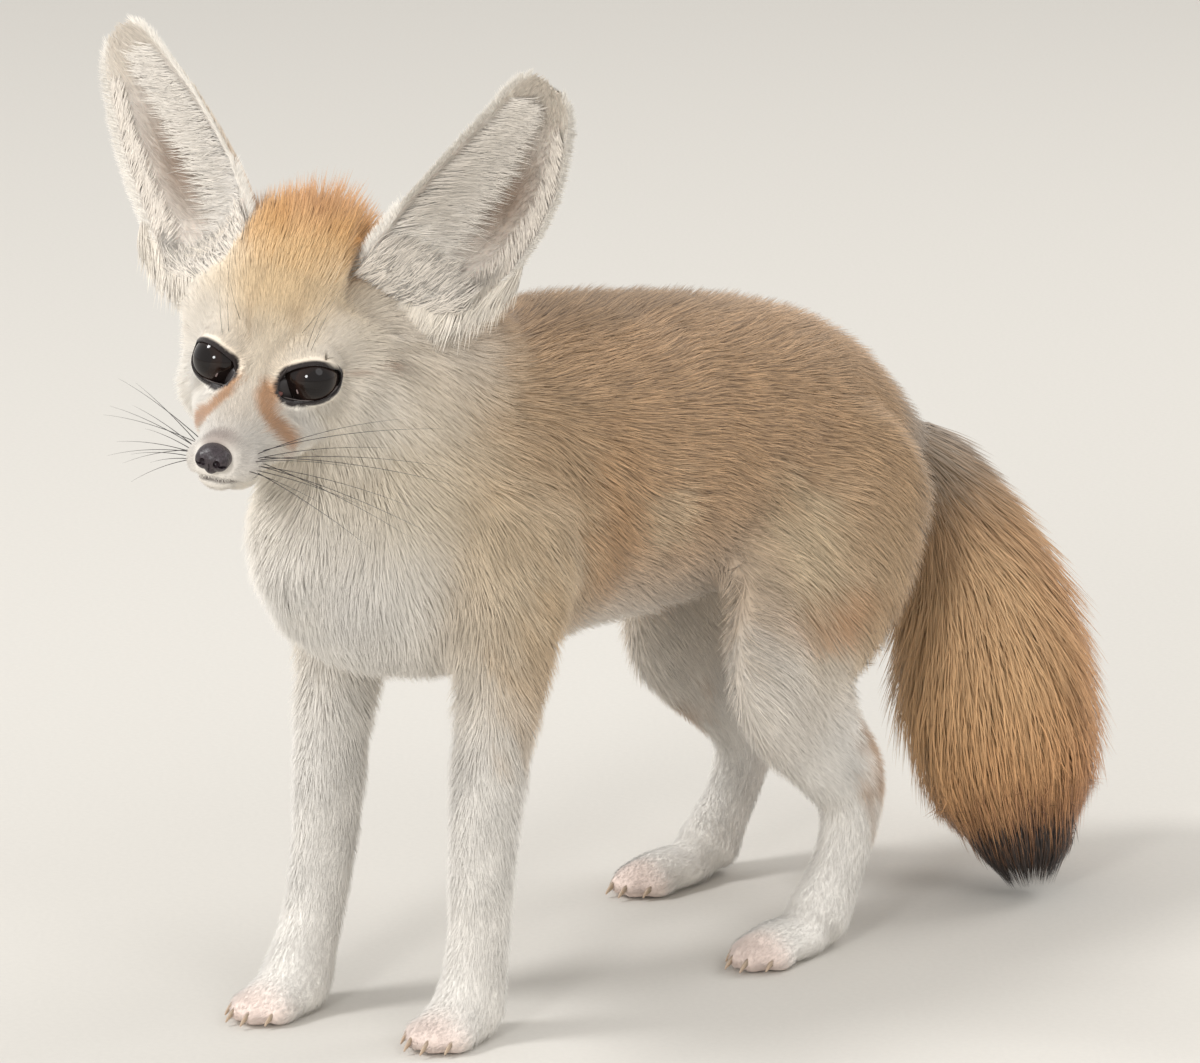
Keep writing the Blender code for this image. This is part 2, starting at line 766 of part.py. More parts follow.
def tube(name, points, radius, sides=6):
    """A tube along points, tapering at both ends."""
    verts = []
    last = len(points) - 1
    for i, point in enumerate(points):
        tangent = (points[min(i + 1, last)] - points[max(i - 1, 0)]).normalized()
        wide = tangent.orthogonal().normalized()
        wide = (UP - tangent * UP.dot(tangent)).normalized() if abs(UP.dot(tangent)) < 0.9 else wide
        high = tangent.cross(wide)
        size = radius * (TUBE_END if i in (0, last) else 1)
        for k in range(sides):
            angle = 2 * math.pi * (k + 0.5) / sides
            verts.append(point + (wide * math.cos(angle) + high * math.sin(angle)) * size)
    return new_object(name, verts, tube_faces(last + 1, sides))


def mouth_tubes(head, shift, radius):
    """One tube from corner to corner of the mouth, round the front of the muzzle."""
    left = surface_line(tree_of(head), MOUTH, shift)
    front = on_head(MUZZLE_FRONT, 0, MOUTH[0][1] + shift)
    mirrored = [p - LEFT * 2 * (p - HEAD_AT).dot(LEFT) for p in left]
    return tube("mouth", mirrored[::-1] + [front] + left, radius)


def skull():
    """Skull and muzzle, with every ring square to the way the head faces."""
    stations = [(*on_head(forward, 0, up), wide, high) for forward, up, wide, high in SKULL]
    return loft("skull", stations, sides=28, across=LEFT, along=-FORWARD)


def make_head():
    """The head with its mouth, lids and eye sockets, seats for both ears, and the eyeballs."""
    pieces = [skull(), loft("neck", NECK, sides=24)]
    axes = (FORWARD, LEFT, UP)
    for side in (1, -1):
        for (f, l, u), radii in (CHEEK, WHISKER_PAD, BROW, EAR_BOSS):
            pieces.append(ball("cheek", on_head(f, l * side, u), radii, axes))
    mass = fuse("head_mass", pieces, HEAD_VOXEL)
    for side in (1, -1):
        dent_for_eye(mass, side)
    muzzle_end = (on_head(MUZZLE_FRONT + NOSE_BLOCK[0] / 2, 0, NOSE_AT[2]), NOSE_BLOCK, axes)
    head = node_from(mass, "head", [head_parting()], [muzzle_end], TRIANGLES["head"])
    bpy.data.objects.remove(mass)
    lips = [mouth_tubes(head, way * LIP_APART, LIP_ROUND) for way in (1, -1)]
    combine(head, lips, "UNION")
    combine(head, [mouth_tubes(head, 0, MOUTH_GROOVE)], "DIFFERENCE")
    combine(head, [lid_ring(side) for side in (1, -1)], "UNION")
    sockets = [ball("socket", eye_centre(side), [EYE_RADIUS + GAP * 1.2] * 3) for side in (1, -1)]
    combine(head, sockets + [slit_cutter(side) for side in (1, -1)], "DIFFERENCE")
    sunk = [make_ear(name, grow=GAP, filled=True) for name in EARS]
    combine(head, [block(*muzzle_end, grow=GAP / 2), *sunk], "DIFFERENCE")
    largest_body(head)
    paint(head, "cream")
    for side, name in ((1, "eye_left"), (-1, "eye_right")):
        paint(ball(name, eye_centre(side), [EYE_RADIUS] * 3), "eye", 0.05)


def ear_axes(name):
    """The ear's length, its width from the inner to the outer edge, and where its cup opens."""
    side = EARS[name]["side"]
    out, back, turn = (math.radians(EARS[name][k]) for k in ("out", "back", "turn"))
    upright = UP * math.cos(back) - FORWARD * math.sin(back)
    length = LEFT * side * math.sin(out) + upright * math.cos(out)
    opening = FORWARD * math.cos(turn) + LEFT * side * math.sin(turn)
    opening = (opening - length * opening.dot(length)).normalized()
    return length, length.cross(opening) * side, opening


def make_ear(name, grow=0.0, filled=False):
    """A leaf rolled into a cup: the back of the ear, its hollow front, and the rim between."""
    length, width, opening = ear_axes(name)
    root = on_head(EAR_BASE[0], EAR_BASE[1] * EARS[name]["side"], EAR_BASE[2])
    table = np.array(EAR_SHAPE, float)
    back, front = [], []
    for row in range(EAR_ROWS + 1):
        t = row / EAR_ROWS
        half, cup, fill, lean = (float(np.interp(t, table[:, 0], table[:, c])) for c in range(1, 5))
        half_angle = 2 * math.atan(cup / half)
        radius = half / math.sin(half_angle)
        height = EAR_LENGTH * t + grow * (2 * t - 1)
        centre = root + length * height + width * lean * EARS[name]["sway"] - opening * cup * 0.5
        wider = 1 + grow / half
        for column in range(EAR_COLUMNS + 1):
            angle = half_angle * (2 * column / EAR_COLUMNS - 1)
            sideways, deep = radius * math.sin(angle), radius * (math.cos(angle) - math.cos(half_angle))
            inner = 0 if filled else max(deep - fill, 0)
            back.append(centre + width * sideways * wider - opening * (deep + EAR_THICK / 2 + grow))
            narrower = wider - EAR_RIM / max(half, EAR_RIM * 2)
            front.append(centre + width * sideways * narrower - opening * (inner - EAR_THICK / 2 - grow))
    columns = EAR_COLUMNS + 1
    faces, count = [], len(back)
    for row in range(EAR_ROWS):
        for column in range(EAR_COLUMNS):
            a = row * columns + column
            faces.append((a, a + 1, a + columns + 1, a + columns))
            faces.append((count + a, count + a + columns, count + a + columns + 1, count + a + 1))
        for a in (row * columns, row * columns + EAR_COLUMNS):
            faces.append((a, a + columns, count + a + columns, count + a))
    for a in range(EAR_COLUMNS):
        for b in (a, EAR_ROWS * columns + a):
            faces.append((b, b + 1, count + b + 1, count + b))
    return new_object(name, back + front, faces)


def make_nose():
    """The nose pad, flat behind, with a nostril on each side of a groove."""
    nose = ball("nose", on_head(*NOSE_AT), NOSE_SIZE, (FORWARD, LEFT, UP), subdivisions=3)
    behind = (on_head(NOSE_BACK - NOSE_BLOCK[0] / 2, 0, NOSE_AT[2]), NOSE_BLOCK, (FORWARD, LEFT, UP))
    cutters = [block(*behind)]
    for side in (1, -1):
        f, l, u = NOSTRIL_AT
        aim = (FORWARD * NOSTRIL_AIM[0] + LEFT * side * NOSTRIL_AIM[1]).normalized()
        flat = (LEFT * side - aim * LEFT.dot(aim) * side).normalized()
        at = on_head(f, l * side, u)
        cutters.append(ball("nostril", at, NOSTRIL_SIZE, (aim, flat, UP), subdivisions=2))
    bottom = on_head(NOSE_AT[0] + NOSE_SIZE[0], 0, NOSE_AT[2] - NOSE_SIZE[2])
    cutters.append(block(bottom, GROOVE, (FORWARD, LEFT, UP)))
    combine(nose, cutters, "DIFFERENCE")
    paint(largest_body(nose), "nose", 0.35)


def claw(name, tip, ahead, grow=0.0):
    """A short tapered claw that bends down from inside the toe to its tip."""
    spine = []
    for share, drop, radius in CLAW_SHAPE:
        at = tip + ahead * (CLAW_LENGTH * (share - 1) + grow * (2 * share - 1)) + Vector((0, 0, drop))
        spine.append((at, radius + grow))
    verts = []
    wide = Vector((ahead.y, -ahead.x, 0))
    for at, radius in spine:
        for k in range(CLAW_SIDES):
            angle = 2 * math.pi * (k + 0.5) / CLAW_SIDES
            aside = wide * radius * CLAW_FLAT * math.cos(angle)
            verts.append(at + aside + Vector((0, 0, radius * math.sin(angle))))
    return new_object(name, verts, tube_faces(len(spine), CLAW_SIDES))


def make_claws(leg_name):
    """Four claws of a paw, each seated in its toe."""
    (x, y), heading, length, width = PAWS[leg_name]
    turn = math.radians(heading)
    ahead = Vector((math.sin(turn), -math.cos(turn), 0))
    aside = Vector((math.cos(turn), math.sin(turn), 0))
    seats = []
    for number, (place, out) in enumerate(TOES, start=1):
        tip = Vector((x, y, CLAW_TIP_UP)) + ahead * (length * out + CLAW_AHEAD) + aside * width * place
        name = leg_name.replace("leg", "claw") + f"_{number}"
        paint(claw(name, tip, ahead), "claw", 0.4)
        seats.append(claw("seat", tip, ahead, grow=GAP))
    combine(bpy.data.objects[leg_name], seats, "DIFFERENCE")
    largest_body(bpy.data.objects[leg_name])


def lock(points, side, width, thick):
    """A flat lock that tapers along its spine of four points, from a blunt root to its tip."""
    verts = []
    for (_, wide, deep), before, at, after in zip(LOCK_RINGS, [points[0], *points], points, points[1:]):
        along = (after - before).normalized()
        across = (side - along * side.dot(along)).normalized()
        out = along.cross(across)
        for a, b in ((1, 0), (0, 1), (-1, 0), (0, -1)):
            verts.append(at + across * a * width * wide / 2 + out * b * thick * deep / 2)
    verts.append(points[-1])
    faces = tube_faces(len(LOCK_RINGS), 4)[:-1]
    last = len(verts) - 5
    faces += [(last + k, last + (k + 1) % 4, len(verts) - 1) for k in range(4)]
    return new_object("lock", verts, faces)


def surface_lock(tree, spot, lie, size, rand, hug=LOCK_HUG):
    """A lock rooted where the surface is nearest to the spot, which follows it and lifts at its tip."""
    vary = 1 + rand.uniform(-LOCK_VARY, LOCK_VARY)
    length, width, thick = (value * vary for value in size)
    hit, normal = tree.find_nearest(Vector(spot) * MM)[:2]
    hit = hit / MM
    lie = Vector(lie) + Vector([rand.uniform(-LOCK_VARY, LOCK_VARY) for _ in range(3)])
    lie = (lie - normal * lie.dot(normal)).normalized()
    points = [hit - normal * LOCK_SINK]
    for share in [ring[0] for ring in LOCK_RINGS[1:]] + [1.0]:
        straight = hit + lie * length * share
        near, out = tree.find_nearest(straight * MM)[:2]
        rise = thick * LOCK_BED + LOCK_LIFT * share * share
        points.append(straight.lerp(near / MM, hug) + out * rise)
    return lock(points, normal.cross(lie), width, thick)


def grown(obj, by):
    """A copy of the object with its surface moved out, to keep its neighbours clear of it."""
    copy = bpy.data.objects.new("grown", obj.data.copy())
    bpy.context.scene.collection.objects.link(copy)
    for vert in copy.data.vertices:
        vert.co += vert.normal * by * MM
    return copy


def kept_clear(neighbours):
    """Cutters that keep locks clear of the neighbours, sharp edges and creases included."""
    return [grown(neighbour, by) for neighbour in neighbours for by in LOCK_CLEAR]


def add_locks(obj, locks, neighbours):
    """Fuse the locks, cut them clear of the neighbours, and fuse them with their node."""
    first, *others = locks
    combine(first, others, "UNION")
    if neighbours:
        combine(first, kept_clear(neighbours), "DIFFERENCE")
    combine(first, [block(*floor_place(), grow=GAP / 2)], "DIFFERENCE")
    combine(obj, [first], "UNION")
    largest_body(obj)


def make_rows(name, neighbours, rand):
    """The rows of locks of one node."""
    obj = bpy.data.objects[name]
    tree, locks = tree_of(obj), []
    for first, last, count, lie, size in ROWS[name]:
        for k in range(count):
            spot = Vector(first).lerp(Vector(last), k / (count - 1))
            locks.append(surface_lock(tree, spot, lie, size, rand))
    add_locks(obj, locks, [bpy.data.objects[n] for n in neighbours])


def make_ruff(rand):
    """The ruff that stands out behind both cheeks."""
    head = bpy.data.objects["head"]
    tree, locks = tree_of(head), []
    back, outward, up = RUFF_LIE
    for side in (1, -1):
        for tier, (ahead, length) in enumerate(RUFF_TIERS):
            for k in range(RUFF_COUNT):
                share = (k + 0.5 * tier) / (RUFF_COUNT - 0.5)
                angle = math.radians(RUFF_ARC[0] + (RUFF_ARC[1] - RUFF_ARC[0]) * share)
                aside = LEFT * side * math.cos(angle) + UP * math.sin(angle)
                spot = on_head(ahead, 0, CHEEK[0][2] / 2) + aside * RUFF_REACH
                lie = FORWARD * back + aside * outward + UP * up
                size = (length, RUFF_WIDE, RUFF_THICK)
                locks.append(surface_lock(tree, spot, lie, size, rand, RUFF_HUG))
    add_locks(head, locks, [bpy.data.objects[n] for n in ("neck", "torso", "ear_left", "ear_right")])


def brush_point(t, angle, rise):
    """A point in the brush: share along the tail, angle round it, and from the core out to the tips."""
    point, _, wide, high, radius, _ = tail_frame(t)
    core = radius * TAIL_CORE
    reach = core + (radius - core) * rise
    return point + (wide * math.cos(angle) + high * math.sin(angle)) * reach


def make_tail(rand):
    """The tail: a core less than half way to the tips, and tiers of locks that make the brush."""
    stations = []
    for k in range(TAIL_RINGS + 1):
        t = k / TAIL_RINGS
        point, _, _, _, radius, _ = tail_frame(t)
        core = max(radius * TAIL_CORE, radius * TAIL_ROOT * (1 - t / TAIL_ROOT_END))
        stations.append((*point, core, core))
    tail = loft("tail", stations, sides=TAIL_SIDES, steps=1)
    locks = []
    for tier, (start, count, covers) in enumerate(BRUSH):
        for k in range(count):
            turn = k + 0.5 * (tier % 2) + rand.uniform(-BRUSH_SHIFT, BRUSH_SHIFT)
            angle = 2 * math.pi * turn / count
            vary = 1 + rand.uniform(-LOCK_VARY, LOCK_VARY)
            end = start + covers * vary
            swing = rand.uniform(-BRUSH_SWING, BRUSH_SWING)
            points = [brush_point(start, angle, BRUSH_ROOT)]
            for share, rise in zip((LOCK_RINGS[1][0], LOCK_RINGS[2][0]), BRUSH_RISE):
                points.append(brush_point(start + (end - start) * share, angle + swing * share, rise))
            points.append(brush_point(end, angle + swing, 1.0))
            _, _, wide, high, radius, _ = tail_frame(start + covers * LOCK_RINGS[1][0])
            side = high * math.cos(angle) - wide * math.sin(angle)
            reach = radius * (TAIL_CORE + (1 - TAIL_CORE) * BRUSH_RISE[0])
            width = BRUSH_WIDE * 2 * math.pi * reach / count
            locks.append(lock(points, side, width, BRUSH_THICK * min(1, radius / BRUSH_FULL)))
    point, tangent, _, _, _, _ = tail_frame(TAIL_PARTING)
    before = side_of(point, -tangent, TAIL_CUT)
    add_locks(tail, locks, [])
    combine(tail, [block(*before, grow=GAP / 2)], "DIFFERENCE")
    nodes = [bpy.data.objects[n] for n in ("torso", "hindleg_left", "hindleg_right")]
    combine(tail, kept_clear(nodes), "DIFFERENCE")
    paint(largest_body(tail), "rust")


def stand_on_origin():
    """Put the middle of the model's footprint over the origin."""
    nodes = [o for o in bpy.context.scene.objects if o.type == "MESH"]
    corners = np.array([v.co for o in nodes for v in o.data.vertices])
    low, high = corners.min(0), corners.max(0)
    shift = Matrix.Translation((-(low[0] + high[0]) / 2, -(low[1] + high[1]) / 2, -low[2]))
    for obj in nodes:
        obj.data.transform(shift)
        obj.data.shade_smooth()


def main():
    clear_scene()
    make_body()
    make_head()
    for name in EARS:
        paint(make_ear(name), "cream")
    make_nose()
    for name in LEGS:
        make_claws(name)
    rand = random.Random(SEED)
    make_ruff(rand)
    make_rows("neck", ("head", "torso", "foreleg_left", "foreleg_right"), rand)
    make_rows("torso", ("neck", "foreleg_left", "foreleg_right", "hindleg_left", "hindleg_right"), rand)
    make_tail(rand)
    stand_on_origin()


main()
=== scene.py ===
import math

import bpy
import numpy as np
from mathutils import Matrix, Vector
from mathutils.bvhtree import BVHTree
from mathutils.kdtree import KDTree


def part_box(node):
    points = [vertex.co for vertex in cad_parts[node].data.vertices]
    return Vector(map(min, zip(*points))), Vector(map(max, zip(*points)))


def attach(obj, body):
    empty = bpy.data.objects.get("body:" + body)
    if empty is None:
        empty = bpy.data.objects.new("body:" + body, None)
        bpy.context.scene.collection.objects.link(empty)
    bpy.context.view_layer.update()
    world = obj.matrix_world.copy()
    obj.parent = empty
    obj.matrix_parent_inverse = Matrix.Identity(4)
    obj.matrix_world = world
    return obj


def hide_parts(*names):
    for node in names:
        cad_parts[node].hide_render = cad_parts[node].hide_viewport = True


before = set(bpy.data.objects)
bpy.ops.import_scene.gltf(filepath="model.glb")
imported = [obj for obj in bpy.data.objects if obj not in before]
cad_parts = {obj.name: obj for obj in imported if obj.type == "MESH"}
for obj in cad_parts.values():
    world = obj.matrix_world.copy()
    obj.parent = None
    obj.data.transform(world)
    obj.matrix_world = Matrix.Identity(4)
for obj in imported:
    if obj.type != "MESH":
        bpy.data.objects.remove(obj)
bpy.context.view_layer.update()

# Skin of the trunk, neck, legs and tail. A living fox's hide is one loose sheet over muscle, with
# the hair rooted in it. It is lofted here through stations close to those of the solids, in
# millimetres, fused into one form, and drawn in under the coat by the depth of the hair.
MM = 0.001
BODY_GRID = 2.1
SMOOTHING = 5
DOME_RINGS = (0.35, 0.7, 0.93)
DOME_LONG = 0.6
TRUNK = (
    (0, -173, 165, 20, 26),
    (0, -158, 163, 35, 44),
    (0, -132, 164, 44, 55),
    (0, -100, 166, 46, 59),
    (0, -60, 168, 46, 57),
    (0, -15, 166, 44, 54),
    (0, 30, 163, 42, 48),
    (0, 62, 157, 36, 41),
    (0, 88, 151, 27, 29),
    (0, 109, 148, 16, 17),
)
NECK = (
    (0, -95, 182, 34, 38),
    (0, -120, 194, 38, 44),
    (-1, -142, 205, 37, 43),
    (-3, -160, 216, 33, 38),
    (-5, -172, 222, 26, 30),
)
LEGS = {
    "foreleg_left": (
        (33, -112, 168, 18, 32),
        (34, -114, 140, 18, 27),
        (34.5, -117, 114, 15, 18.5),
        (34, -121, 92, 13, 15),
        (34, -124, 70, 11.5, 13.5),
        (34, -126, 50, 10.8, 11.8),
        (34, -127, 34, 10.4, 10.8),
        (34, -129, 20, 10.8, 11.2),
        (34, -132, 9, 12, 13),
    ),
    "foreleg_right": (
        (-32, -116, 168, 18, 32),
        (-31, -120, 140, 18, 27),
        (-30, -124, 114, 15, 18.5),
        (-29.5, -129, 92, 13, 15),
        (-29, -132, 70, 11.5, 13.5),
        (-28.5, -135, 50, 10.8, 11.8),
        (-28, -139, 34, 10.4, 10.8),
        (-27.5, -144, 20, 10.8, 11.2),
        (-27, -149, 9, 12, 13),
    ),
    "hindleg_left": (
        (26, 62, 158, 20, 40),
        (34, 40, 132, 20, 42),
        (40, 14, 106, 17, 37),
        (43, 9, 88, 14, 28),
        (45, 20, 70, 11.5, 20),
        (46, 33, 54, 10.5, 16),
        (46.5, 34, 42, 9.5, 13),
        (47, 27, 24, 9, 10.5),
        (48, 16, 10, 11, 13),
    ),
    "hindleg_right": (
        (-26, 66, 158, 20, 40),
        (-32, 58, 132, 20, 42),
        (-36, 44, 106, 17, 35),
        (-37, 42, 88, 14, 27),
        (-37, 56, 70, 11.5, 19),
        (-36.5, 70, 54, 10.5, 15.5),
        (-36, 72, 42, 9.5, 13),
        (-36, 64, 24, 9, 10.5),
        (-36, 53, 10, 11, 13),
    ),
}
THIGH_BACKS = (((44, 27, 96), (9, 17, 13)), ((-37.5, 58, 96), (8.5, 17, 13)))
PAWS = {
    "foreleg_left": ((34.5, -137), 6, 37, 27),
    "foreleg_right": ((-26, -155), 2, 38, 27),
    "hindleg_left": ((49, 0), 2, 48, 26),
    "hindleg_right": ((-36, 34), -4, 46, 26),
}
PAW_HEIGHT = 15
PAW_BALL = (0.46, 0.44, 0.55)
PAW_BALL_UP = 0.38
TOES = ((-0.33, 0.24), (-0.12, 0.38), (0.12, 0.38), (0.33, 0.24))
TOE_RADIUS = 5.2
TOE_BALL = (1.5, 0.8, 1.0)
TOE_UP = 0.72
TAIL = (
    (0, 100, 156, 15),
    (3, 113, 146, 18),
    (9, 122, 128, 25),
    (18, 127, 104, 34),
    (28, 125, 80, 40),
    (38, 120, 58, 41),
    (48, 115, 38, 34),
    (56, 112, 20, 19),
    (60, 111, 6, 5),
)
TAIL_CORE = 0.42
TAIL_ROOT = 0.72
TAIL_ROOT_END = 0.26
TAIL_RINGS = 24
TAIL_PLACES = 80
X, Y, Z = np.eye(3)


def unit(v):
    return v / np.maximum(np.linalg.norm(v, axis=-1, keepdims=True), 1e-9)


def smooth_rows(rows, steps):
    """Rows of numbers on a smooth curve through the given ones, with steps for each stretch."""
    rows = np.array(rows, float)
    padded = np.vstack([2 * rows[0] - rows[1], rows, 2 * rows[-1] - rows[-2]])
    found = []
    for a, b, c, d in zip(padded, padded[1:], padded[2:], padded[3:]):
        for t in np.arange(steps) / steps:
            found.append(0.5 * (2 * b + (c - a) * t + (2 * a - 5 * b + 4 * c - d) * t**2
                                + (3 * b - a - 3 * c + d) * t**3))
    return np.array(found + [rows[-1]])


def loft(rows, sides=24, across=X, steps=4, along=None):
    """A tube with domed ends through rows of x, y, z, half width, half height: points and faces."""
    rows = smooth_rows(rows, steps)
    tangents = unit(np.gradient(rows[:, :3], axis=0))
    if along is not None:
        tangents = np.tile(along, (len(rows), 1))
    rings = []
    for i, way in ((0, -1), (-1, 1)):
        caps = []
        for share in DOME_RINGS:
            cap = rows[i].copy()
            cap[:3] += tangents[i] * way * min(cap[3:5]) * DOME_LONG * share
            cap[3:5] *= math.sqrt(1 - share**2)
            caps.append(cap)
        rings.append(caps[::-1] if way < 0 else caps)
    tangents = np.vstack([[tangents[0]] * 3, tangents, [tangents[-1]] * 3])
    rows = np.vstack([rings[0], rows, rings[1]])
    wide = unit(across - tangents * (tangents @ across)[:, None])
    high = np.cross(tangents, wide)
    angles = 2 * math.pi * np.arange(sides) / sides
    points = (rows[:, None, :3] + wide[:, None] * (rows[:, 3, None] * np.cos(angles))[..., None]
              + high[:, None] * (rows[:, 4, None] * np.sin(angles))[..., None])
    return points.reshape(-1, 3), tube_faces(len(rows), sides)


def tube_faces(rings, sides):
    """Faces of a tube whose rings follow one another, with both ends capped."""
    faces = []
    for r in range(rings - 1):
        for k in range(sides):
            n = (k + 1) % sides
            faces.append((r * sides + k, r * sides + n, (r + 1) * sides + n, (r + 1) * sides + k))
    faces.append(tuple(range(sides))[::-1])
    faces.append(tuple((rings - 1) * sides + k for k in range(sides)))
    return faces


def ball(centre, radii, axes=(X, Y, Z), sides=24):
    """An ellipsoid as points and faces, its poles on the first axis."""
    slope = math.pi * (np.arange(sides // 2) + 0.5) / (sides // 2)
    turn = 2 * math.pi * np.arange(sides) / sides
    rings = [np.outer(np.full(sides, radii[0] * math.cos(s)), axes[0])
             + np.outer(radii[1] * math.sin(s) * np.cos(turn), axes[1])
             + np.outer(radii[2] * math.sin(s) * np.sin(turn), axes[2]) for s in slope]
    faces = tube_faces(sides // 2, sides)
    if np.dot(np.cross(axes[0], axes[1]), axes[2]) > 0:
        faces = [f[::-1] for f in faces]
    return np.array(centre) + np.vstack(rings), faces


# The head's own axes, and the shift from the fox's mid-line to the middle of the solids' box.
HEAD_AT = np.array([10.0, -195, 219])
HEAD_YAW = 29.5
HEAD_PITCH = 3
HEAD_ROLL = -8.8
YAWED = Matrix.Rotation(math.radians(HEAD_YAW), 3, "Z")
PITCHED = Matrix.Rotation(math.radians(HEAD_PITCH), 3, YAWED @ Vector(X))
ROLLED = Matrix.Rotation(math.radians(HEAD_ROLL), 3, PITCHED @ YAWED @ Vector(-Y))
FORWARD = np.array(PITCHED @ YAWED @ Vector(-Y))
LEFT = np.array(ROLLED @ YAWED @ Vector(X))
UP = np.array(ROLLED @ PITCHED @ Vector(Z))
HEAD = np.array([FORWARD, LEFT, UP])
EYE_AT = np.array([-5.6, 13.8, 0])
EYE_RADIUS = 9


def on_head(point):
    """A point of the head's own axes (forward, left, up), in the fox's."""
    return HEAD_AT + np.asarray(point, float) @ HEAD


def in_head(points):
    """Points of the fox, in the head's own axes."""
    return (points - HEAD_AT) @ HEAD.T


SHIFT = np.array(sum(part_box("eye_left"), Vector()) / 2) / MM - on_head(EYE_AT)


def new_object(name, points, faces):
    """An object from points in the fox's millimetres."""
    mesh = bpy.data.meshes.new(name)
    mesh.from_pydata((np.asarray(points) + SHIFT) * MM, [], faces)
    mesh.update()
    obj = bpy.data.objects.new(name, mesh)
    bpy.context.scene.collection.objects.link(obj)
    return obj


def points_of(mesh):
    found = np.empty(len(mesh.vertices) * 3)
    mesh.vertices.foreach_get("co", found)
    return found.reshape(-1, 3) / MM - SHIFT


def normals_of(mesh):
    found = np.empty(len(mesh.vertices) * 3)
    mesh.vertex_normals.foreach_get("vector", found)
    return found.reshape(-1, 3)


def set_points(mesh, points):
    mesh.vertices.foreach_set("co", ((points + SHIFT) * MM).ravel())
    mesh.update()


def applied(obj):
    """The object with its modifiers applied, and no material slots left from the pieces."""
    graph = bpy.context.evaluated_depsgraph_get()
    mesh = bpy.data.meshes.new_from_object(obj.evaluated_get(graph))
    mesh.polygons.foreach_set("material_index", [0] * len(mesh.polygons))
    mesh.materials.clear()
    obj.modifiers.clear()
    obj.data = mesh
    return obj


def fused(name, pieces, grid, smoothing=SMOOTHING):
    """One smooth closed form from overlapping pieces of points and faces."""
    points, faces, count = [], [], 0
    for piece_points, piece_faces in pieces:
        points.append(piece_points)
        faces += [tuple(v + count for v in f) for f in piece_faces]
        count += len(piece_points)
    obj = new_object(name, np.vstack(points), faces)
    remesh = obj.modifiers.new("fuse", "REMESH")
    remesh.mode = "VOXEL"
    remesh.voxel_size = grid * MM
    smooth = obj.modifiers.new("smooth", "SMOOTH")
    smooth.factor = 0.5
    smooth.iterations = smoothing
    return applied(obj)


def combined(obj, others, operation):
    """A Boolean of closed meshes, by the manifold solver, as the exact one is slow on these."""
    for other in others:
        boolean = obj.modifiers.new(operation, "BOOLEAN")
        boolean.operation = operation
        boolean.solver = "MANIFOLD"
        boolean.object = other
    applied(obj)
    for other in others:
        bpy.data.objects.remove(other)
    return obj


def paw_axes(leg):
    """The ways ahead of a paw and to its left."""
    turn = math.radians(PAWS[leg][1])
    ahead = np.array([math.sin(turn), -math.cos(turn), 0])
    aside = np.array([math.cos(turn), math.sin(turn), 0])
    return ahead, aside


def paw_pieces(leg):
    """The paw's ball and its four toes."""
    (x, y), _, length, width = PAWS[leg]
    ahead, aside = paw_axes(leg)
    centre = np.array([x, y, PAW_HEIGHT * PAW_BALL_UP])
    sizes = [size * share for size, share in zip((length, width, PAW_HEIGHT), PAW_BALL)]
    pieces = [ball(centre, sizes, (ahead, aside, Z))]
    for place, out in TOES:
        at = centre + ahead * length * out + aside * width * place
        at[2] = TOE_RADIUS * TOE_UP
        radii = [TOE_RADIUS * share for share in TOE_BALL]
        pieces.append(ball(at, radii, (ahead, aside, Z), sides=16))
    return pieces


TAIL_ROWS = smooth_rows(TAIL, steps=8)
TAIL_LINKS = np.linalg.norm(np.diff(TAIL_ROWS[:, :3], axis=0), axis=1)
TAIL_RUN = np.concatenate([[0], np.cumsum(TAIL_LINKS)])


def tail_frame(t):
    """Points, tangents, two side axes and the brush's radii at shares t of the tail, or past it."""
    wanted = np.clip(t, 0, 1) * TAIL_RUN[-1]
    rows = np.stack([np.interp(wanted, TAIL_RUN, column) for column in TAIL_ROWS.T], axis=-1)
    slopes = np.gradient(TAIL_ROWS[:, :3], axis=0)
    tangents = unit(np.stack([np.interp(wanted, TAIL_RUN, column) for column in slopes.T], axis=-1))
    wide = unit(X - tangents * (tangents @ X)[..., None])
    centres = rows[..., :3] + tangents * (np.maximum(t - 1, 0) * TAIL_RUN[-1])[..., None]
    return centres, tangents, wide, np.cross(tangents, wide), rows[..., 3]


def tail_share(points):
    """How far each point is along the tail, and off its middle as a share of the brush's radius."""
    shares = np.linspace(0, 1, TAIL_PLACES)
    centres, _, _, _, radii = tail_frame(shares)
    far = np.linalg.norm(points[:, None] - centres[None], axis=2)
    best = far.argmin(1)
    return shares[best], far[np.arange(len(points)), best] / radii[best]


body_pieces = [loft(TRUNK, sides=40), loft(NECK, sides=36), *(ball(*back) for back in THIGH_BACKS)]
for leg in LEGS:
    body_pieces += [loft(LEGS[leg], sides=28), *paw_pieces(leg)]
tail_shares = np.linspace(0, 1, TAIL_RINGS)
tail_centres, _, _, _, tail_radii = tail_frame(tail_shares)
tail_core = np.maximum(tail_radii * TAIL_CORE,
                       tail_radii * TAIL_ROOT * (1 - tail_shares / TAIL_ROOT_END))
body_pieces.append(loft(np.column_stack([tail_centres, tail_core, tail_core]), steps=1))
skin = fused("skin", body_pieces, BODY_GRID)

